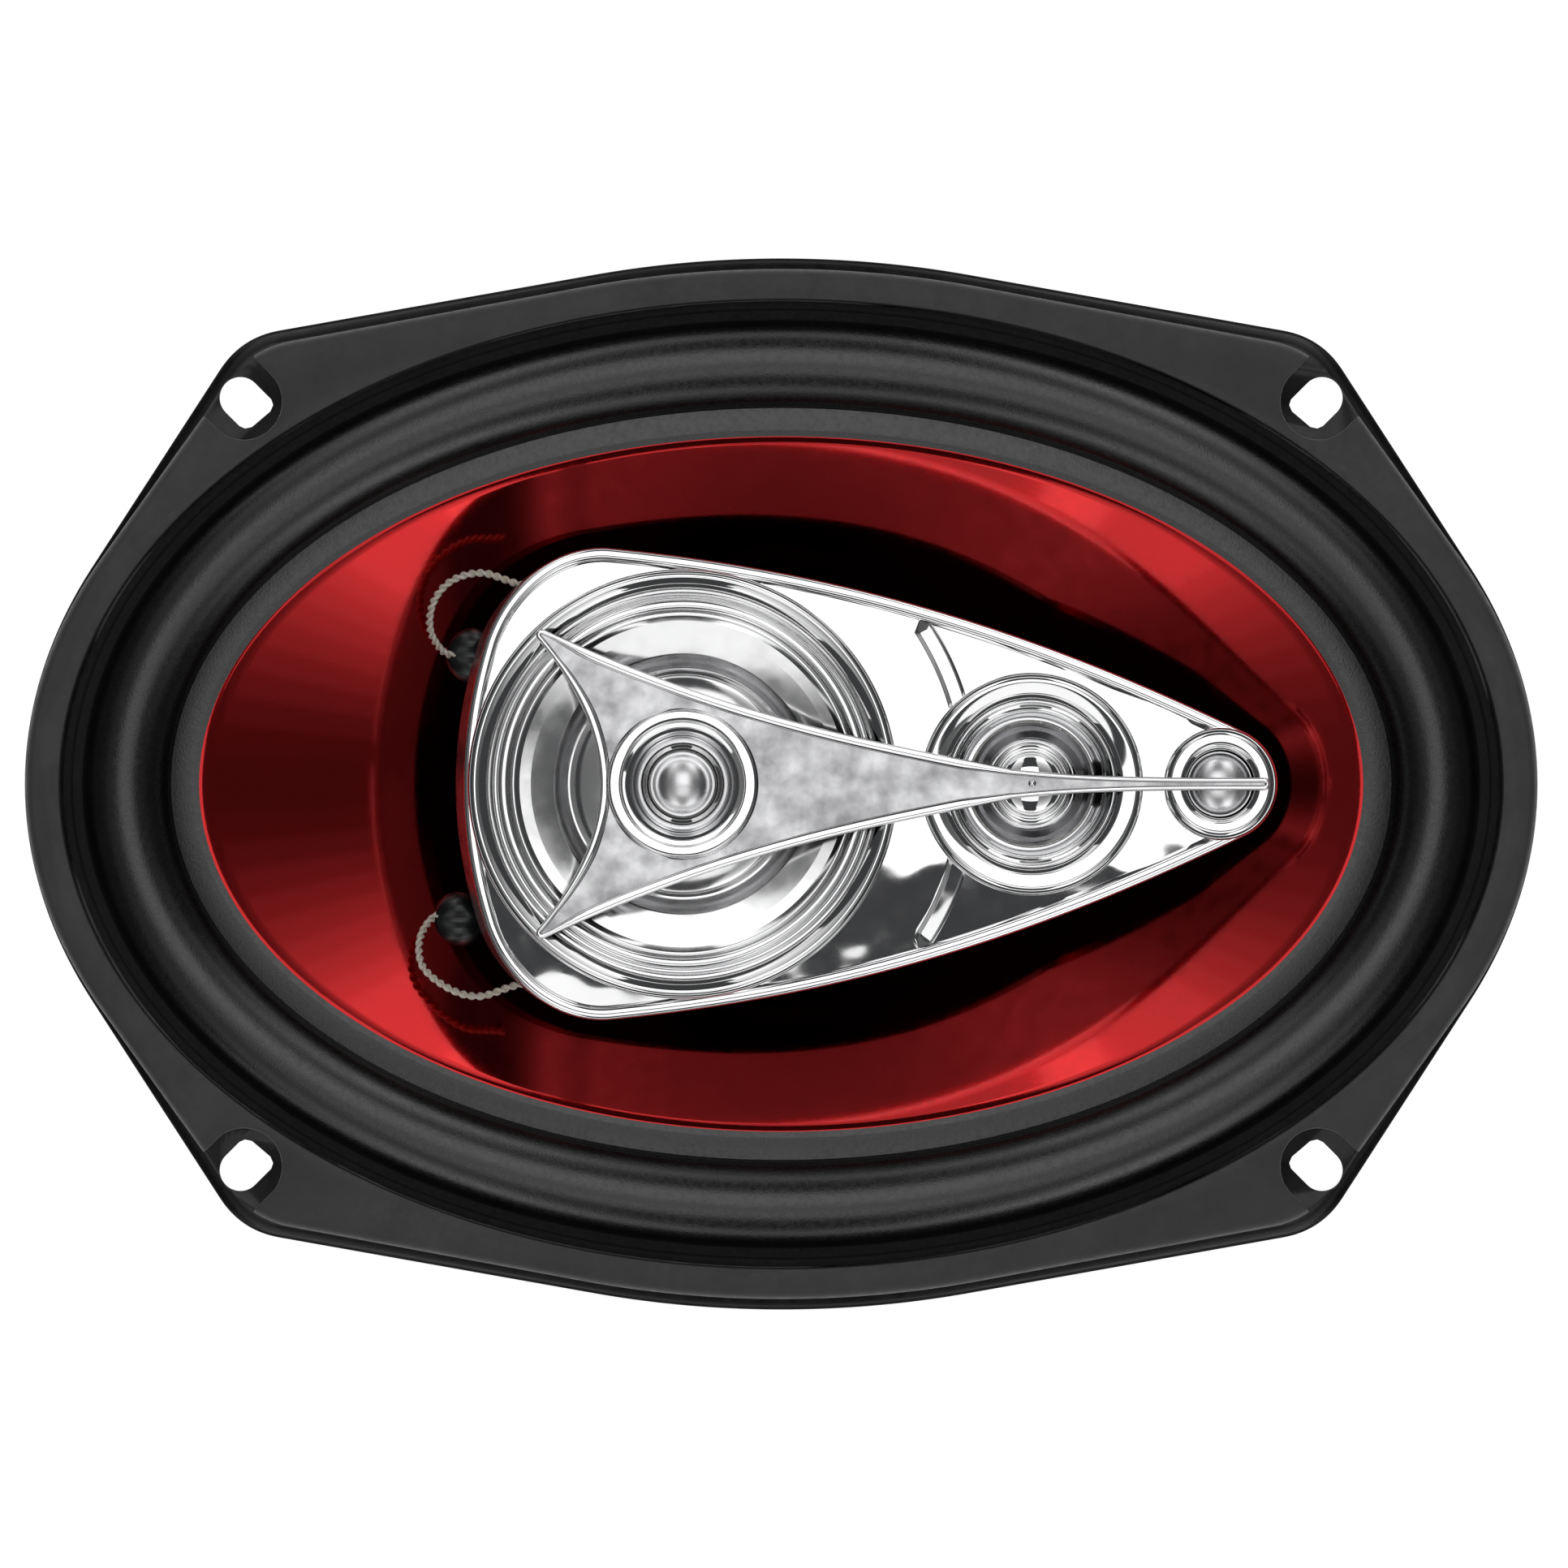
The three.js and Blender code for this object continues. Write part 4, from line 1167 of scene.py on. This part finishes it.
def make_midrange():
    at = dict(centre=(MID_X, 0), segments=FINE)
    trim_ring("mid_trim_ring", MID_X, 30.2, 30.9, 33.2)
    path = [
        (30.1, 83.3), (29.7, 83.25, 0.3), (29.3, 82.7, 0.3), (28.7, 82.65, 0.3), (28.2, 83.35, 0.6),
        (27.3, 83.35, 0.6), (26.8, 82.6, 0.3), (26.2, 82.75, 0.3), (25.4, 82.3, 0.3), (23.6, 82.05),
    ]
    ring = pressed("mid_surround", path, -0.4, steps=4, sharp=50, **at)
    flexing_ring(ring, "silver_foil", "mid_surround", "midrange", 29, 25.5, centre_x=MID_X)
    cone = pressed("mid_cone", [
        (24.9, 81.75), (22.4, 81.35, 8), (20.3, 80.9, 0.4), (18.0, 79.4, 0.6), (17.2, 79.35, 0.6),
        (6.3, 79.35),
    ], -0.45, **at)
    place(cone, "midrange", "silver_foil", "mid_cone")
    cap_path = [(17.4, 79.8), (17.1, 79.9), *dome(16.8, 2.0, 80.0, 20)]
    cap = lathe("mid_dust_cap", thick(cap_path, -0.35), sharp=50, **at)
    place(cap, "midrange", "silver_foil", "mid_dust_cap")
    basin = pressed("mid_frame", [
        (30.9, 81.4), (28.6, 81.4, 0.5), (27.6, 79.4, 0.8), (22, 77.4, 1), (6.9, 77.4),
    ], -0.8, **at)
    place(basin, "frame", "zinc_steel", "mid_frame")


def small_dome(body, path, at):
    """A tweeter's dome of satin metal, whose narrow collar comes first in its path."""
    name = f"{body}_dome"
    cap = lathe(name, thick(path, -0.3), sharp=50, **at)
    place(cap, body, "chrome_plastic", name)
    cap.data.materials[0] = MATERIALS["satin_dome"]


def make_dome_tweeter():
    at = dict(centre=(MID_X, 0), segments=FINE)
    cup = turned("dome_tweeter_cup", [
        (0, 84.2, 0), (7.5, 84.2, 0.6), (9.5, 85.4, 0.5), (9.5, 88.0), (11.7, 88.0, 0.2), (11.7, 88.9, 0.5),
        (11.3, 89.6, 0.5), (9.7, 89.57, 0.3), (9.5, 89.3, 0.15), (9.2, 89.25, 0.15), (8.7, 89.2, 0.4),
        (7.6, 88.1, 2), (6.4, 87.1, 0.4), (6.1, 86.6, 0.1), (5.5, 86.4, 0.2), (5.3, 85), (0, 85),
    ], **at)
    place(cup, "frame", "chrome_plastic", "dome_tweeter_cup")
    magnet = turned("dome_tweeter_magnet", [(0, 85.02), (4.4, 85.02), (4.4, 86), (0, 86)], **at)
    place(magnet, "frame", "zinc_steel", "dome_tweeter_magnet")
    small_dome("dome_tweeter", [(5.0, 86.5), (4.6, 86.45), *dome(4.25, 2.2, 86.6)], at)


def make_tweeter():
    at = dict(centre=(TWEETER_X, 0), segments=FINE)
    trim_ring("tweeter_trim_ring", TWEETER_X, 13.2, 14.3, 17.2, 0.3)
    horn = turned("tweeter_horn", [
        (9.8, 80.4), (10.5, 80.4), (10.5, 82), (13, 84.2), (13.1, 85.1, 0.3), (12.6, 85.2, 0.3),
        (12.3, 84.8, 0.2), (11.9, 84.6, 0.3), (11.2, 83.6, 2), (9.8, 82.7, 0.2),
    ], **at)
    place(horn, "frame", "chrome_plastic", "tweeter_horn")
    path = [(9.5, 82.5), (9.1, 82.4, 0.2), (8.4, 81.9, 0.8), (7.0, 81.5, 0.4)]
    for k in range(17):
        path.append((6.9 - 1.6 * k / 16, 81.75 + 0.14 * math.cos(k / 16 * 6 * math.pi), 0))
    path = fillet(path, closed=False) + dome(4.9, 1.8, 81.9)
    diaphragm = lathe("tweeter_diaphragm", thick(path, -0.3), sharp=50, **at)
    place(diaphragm, "tweeter", "dark_foil", "tweeter_diaphragm")
    diaphragm.data.materials.append(MATERIALS["chrome_plastic"])
    for face in diaphragm.data.polygons:
        radius = math.hypot(face.center.x / MM - TWEETER_X, face.center.y / MM)
        face.material_index = 1 if radius < 6.9 else 0


def make_super_tweeter():
    at = dict(centre=(SUPER_X, 0), segments=FINE)
    trim_ring("super_tweeter_ring", SUPER_X, 5.3, 6.2, 8.7, 0.03)
    small_dome("super_tweeter", [(5.0, 82.95), (4.8, 82.95), *dome(4.5, 2.4, 83.1)], at)
    cup = turned("super_tweeter_cup", [
        (0, 77, 0), (6.1, 77, 0.5), (6.1, 82.7), (5.3, 82.7), (5.3, 78), (0, 78),
    ], **at)
    place(cup, "frame", "black_plastic", "super_tweeter_cup")


HIDDEN_PARTS = {
    "black_plastic": ["housing_base"],
    "capacitor_sleeve": ["midrange_capacitor", "tweeter_capacitor"],
    "wire_red": ["tweeter_wire_positive", "tweeter_wire_negative"],
    "zinc_steel": ["column_nut", "mid_yoke", "mid_top_plate", "tweeter_yoke", "tweeter_top_plate",
                   "super_tweeter_magnet"],
    "ferrite": ["mid_magnet", "tweeter_magnet"],
    "copper": ["mid_voice_coil", "tweeter_voice_coil"],
}


def make_hidden_parts():
    """Pieces inside the housing keep their CAD shape."""
    for slot, nodes in HIDDEN_PARTS.items():
        for node in nodes:
            keep_node(node, slot, 0.15)


# ---------- Stage ----------

PICTURE_WIDTH = 243.4  # how much of the flange's plane the picture spans
SENSOR = 36


def make_stage():
    corners = [(x, y, -0.05) for x, y in ((-3000, -3000), (3000, -3000), (3000, 3000), (-3000, 3000))]
    floor = mesh_object("floor", corners, [(0, 1, 2, 3)])
    paper = Finish("pale floor", Emission_Strength=0.8, Emission_Color=(1, 1, 1, 1))
    paper.colour(paper.noise(400), (0.88, 0.88, 0.88), (0.92, 0.92, 0.92))
    paper.roughness(paper.noise(90), 0.6, 0.8)
    floor.data.transform(Matrix.Scale(MM, 4))
    floor.data.materials.append(paper.material)


def make_camera():
    data = bpy.data.cameras.new("camera")
    distance = 1500
    data.sensor_width = SENSOR
    data.lens = SENSOR * distance / PICTURE_WIDTH
    data.clip_end = 20
    camera = bpy.data.objects.new("camera", data)
    camera.location = (0.44 * MM, 0, (FLANGE_TOP + distance) * MM)
    bpy.context.scene.collection.objects.link(camera)
    bpy.context.scene.camera = camera


def soft_light(name, place_mm, size_mm, brightness, target=(0, 0, 80)):
    """A softbox as bright as brightness times a white surface on screen."""
    data = bpy.data.lights.new(name, "AREA")
    data.shape = "RECTANGLE"
    data.size, data.size_y = size_mm[0] * MM, size_mm[1] * MM
    data.energy = brightness * math.pi * data.size * data.size_y
    lamp = bpy.data.objects.new(name, data)
    lamp.location = Vector(place_mm) * MM
    aim = Vector(target) * MM - lamp.location
    lamp.rotation_euler = aim.to_track_quat("-Z", "Y").to_euler() if aim.xy.length > 1e-6 else (0, 0, 0)
    lamp.visible_camera = False
    bpy.context.scene.collection.objects.link(lamp)


def panel(name, across, along, brightness):
    """A softbox overhead. Its ranges, in X and in Y, are tangents of how far off the vertical it reaches."""
    height = 1400
    (x0, x1), (y0, y1) = ([t * height for t in span] for span in (across, along))
    centre = ((x0 + x1) / 2, (y0 + y1) / 2, height + FLANGE_TOP)
    soft_light(name, centre, (x1 - x0, y1 - y0), brightness, target=(centre[0], centre[1], 0))


def make_world():
    """A dim room that is lit by the softboxes, with a pale wall behind the object."""
    world = bpy.data.worlds.new("studio")
    world.use_nodes = True
    tree = world.node_tree
    room = tree.nodes["Background"]
    room.inputs["Color"].default_value = (0.9, 0.92, 0.95, 1)
    room.inputs["Strength"].default_value = 0.05
    backdrop = tree.nodes.new("ShaderNodeBackground")
    backdrop.inputs["Color"].default_value = (0.93, 0.93, 0.93, 1)
    either = tree.nodes.new("ShaderNodeMixShader")
    tree.links.new(tree.nodes.new("ShaderNodeLightPath").outputs["Is Camera Ray"], either.inputs["Fac"])
    tree.links.new(room.outputs["Background"], either.inputs[1])
    tree.links.new(backdrop.outputs["Background"], either.inputs[2])
    tree.links.new(either.outputs["Shader"], tree.nodes["World Output"].inputs["Surface"])
    bpy.context.scene.world = world


def make_light():
    """Softboxes overhead, brighter towards the corners, and a long one low on each side."""
    bpy.context.scene.view_settings.view_transform = "Standard"
    panel("zenith", (-0.25, 0.25), (-0.055, 0.5), 1.25)
    panel("lower bank", (-0.25, 0.25), (-0.5, -0.14), 1.0)
    for side in (1, -1):
        for k in range(9):
            span = sorted((side * k / 9, side * (k + 1) / 9))
            panel("right fade", (0.25, 0.9), span, 0.05 + 1.2 * (k / 9) ** 2)
            panel("left fade", (-0.82, -0.25), span, 0.1 + 0.9 * (k / 9) ** 2)
        panel("right corner", (0.3, 0.89), sorted((side, side * 1.8)), 1.3)
        panel("left corner", (-0.8, -0.3), sorted((side, side * 1.8)), 1.1)
        soft_light("wall", (40, side * 1600, 890), (3400, 460), 0.7)


make_basket()
make_gasket()
make_cone()
make_surround()
make_spider()
make_motor()
make_column()
make_voice_coil()
make_dust_ring()
make_leads()
make_dabs()
make_terminals()
make_shell()
make_bridge()
make_midrange()
make_dome_tweeter()
make_tweeter()
make_super_tweeter()
make_hidden_parts()
make_stage()
make_camera()
make_world()
make_light()
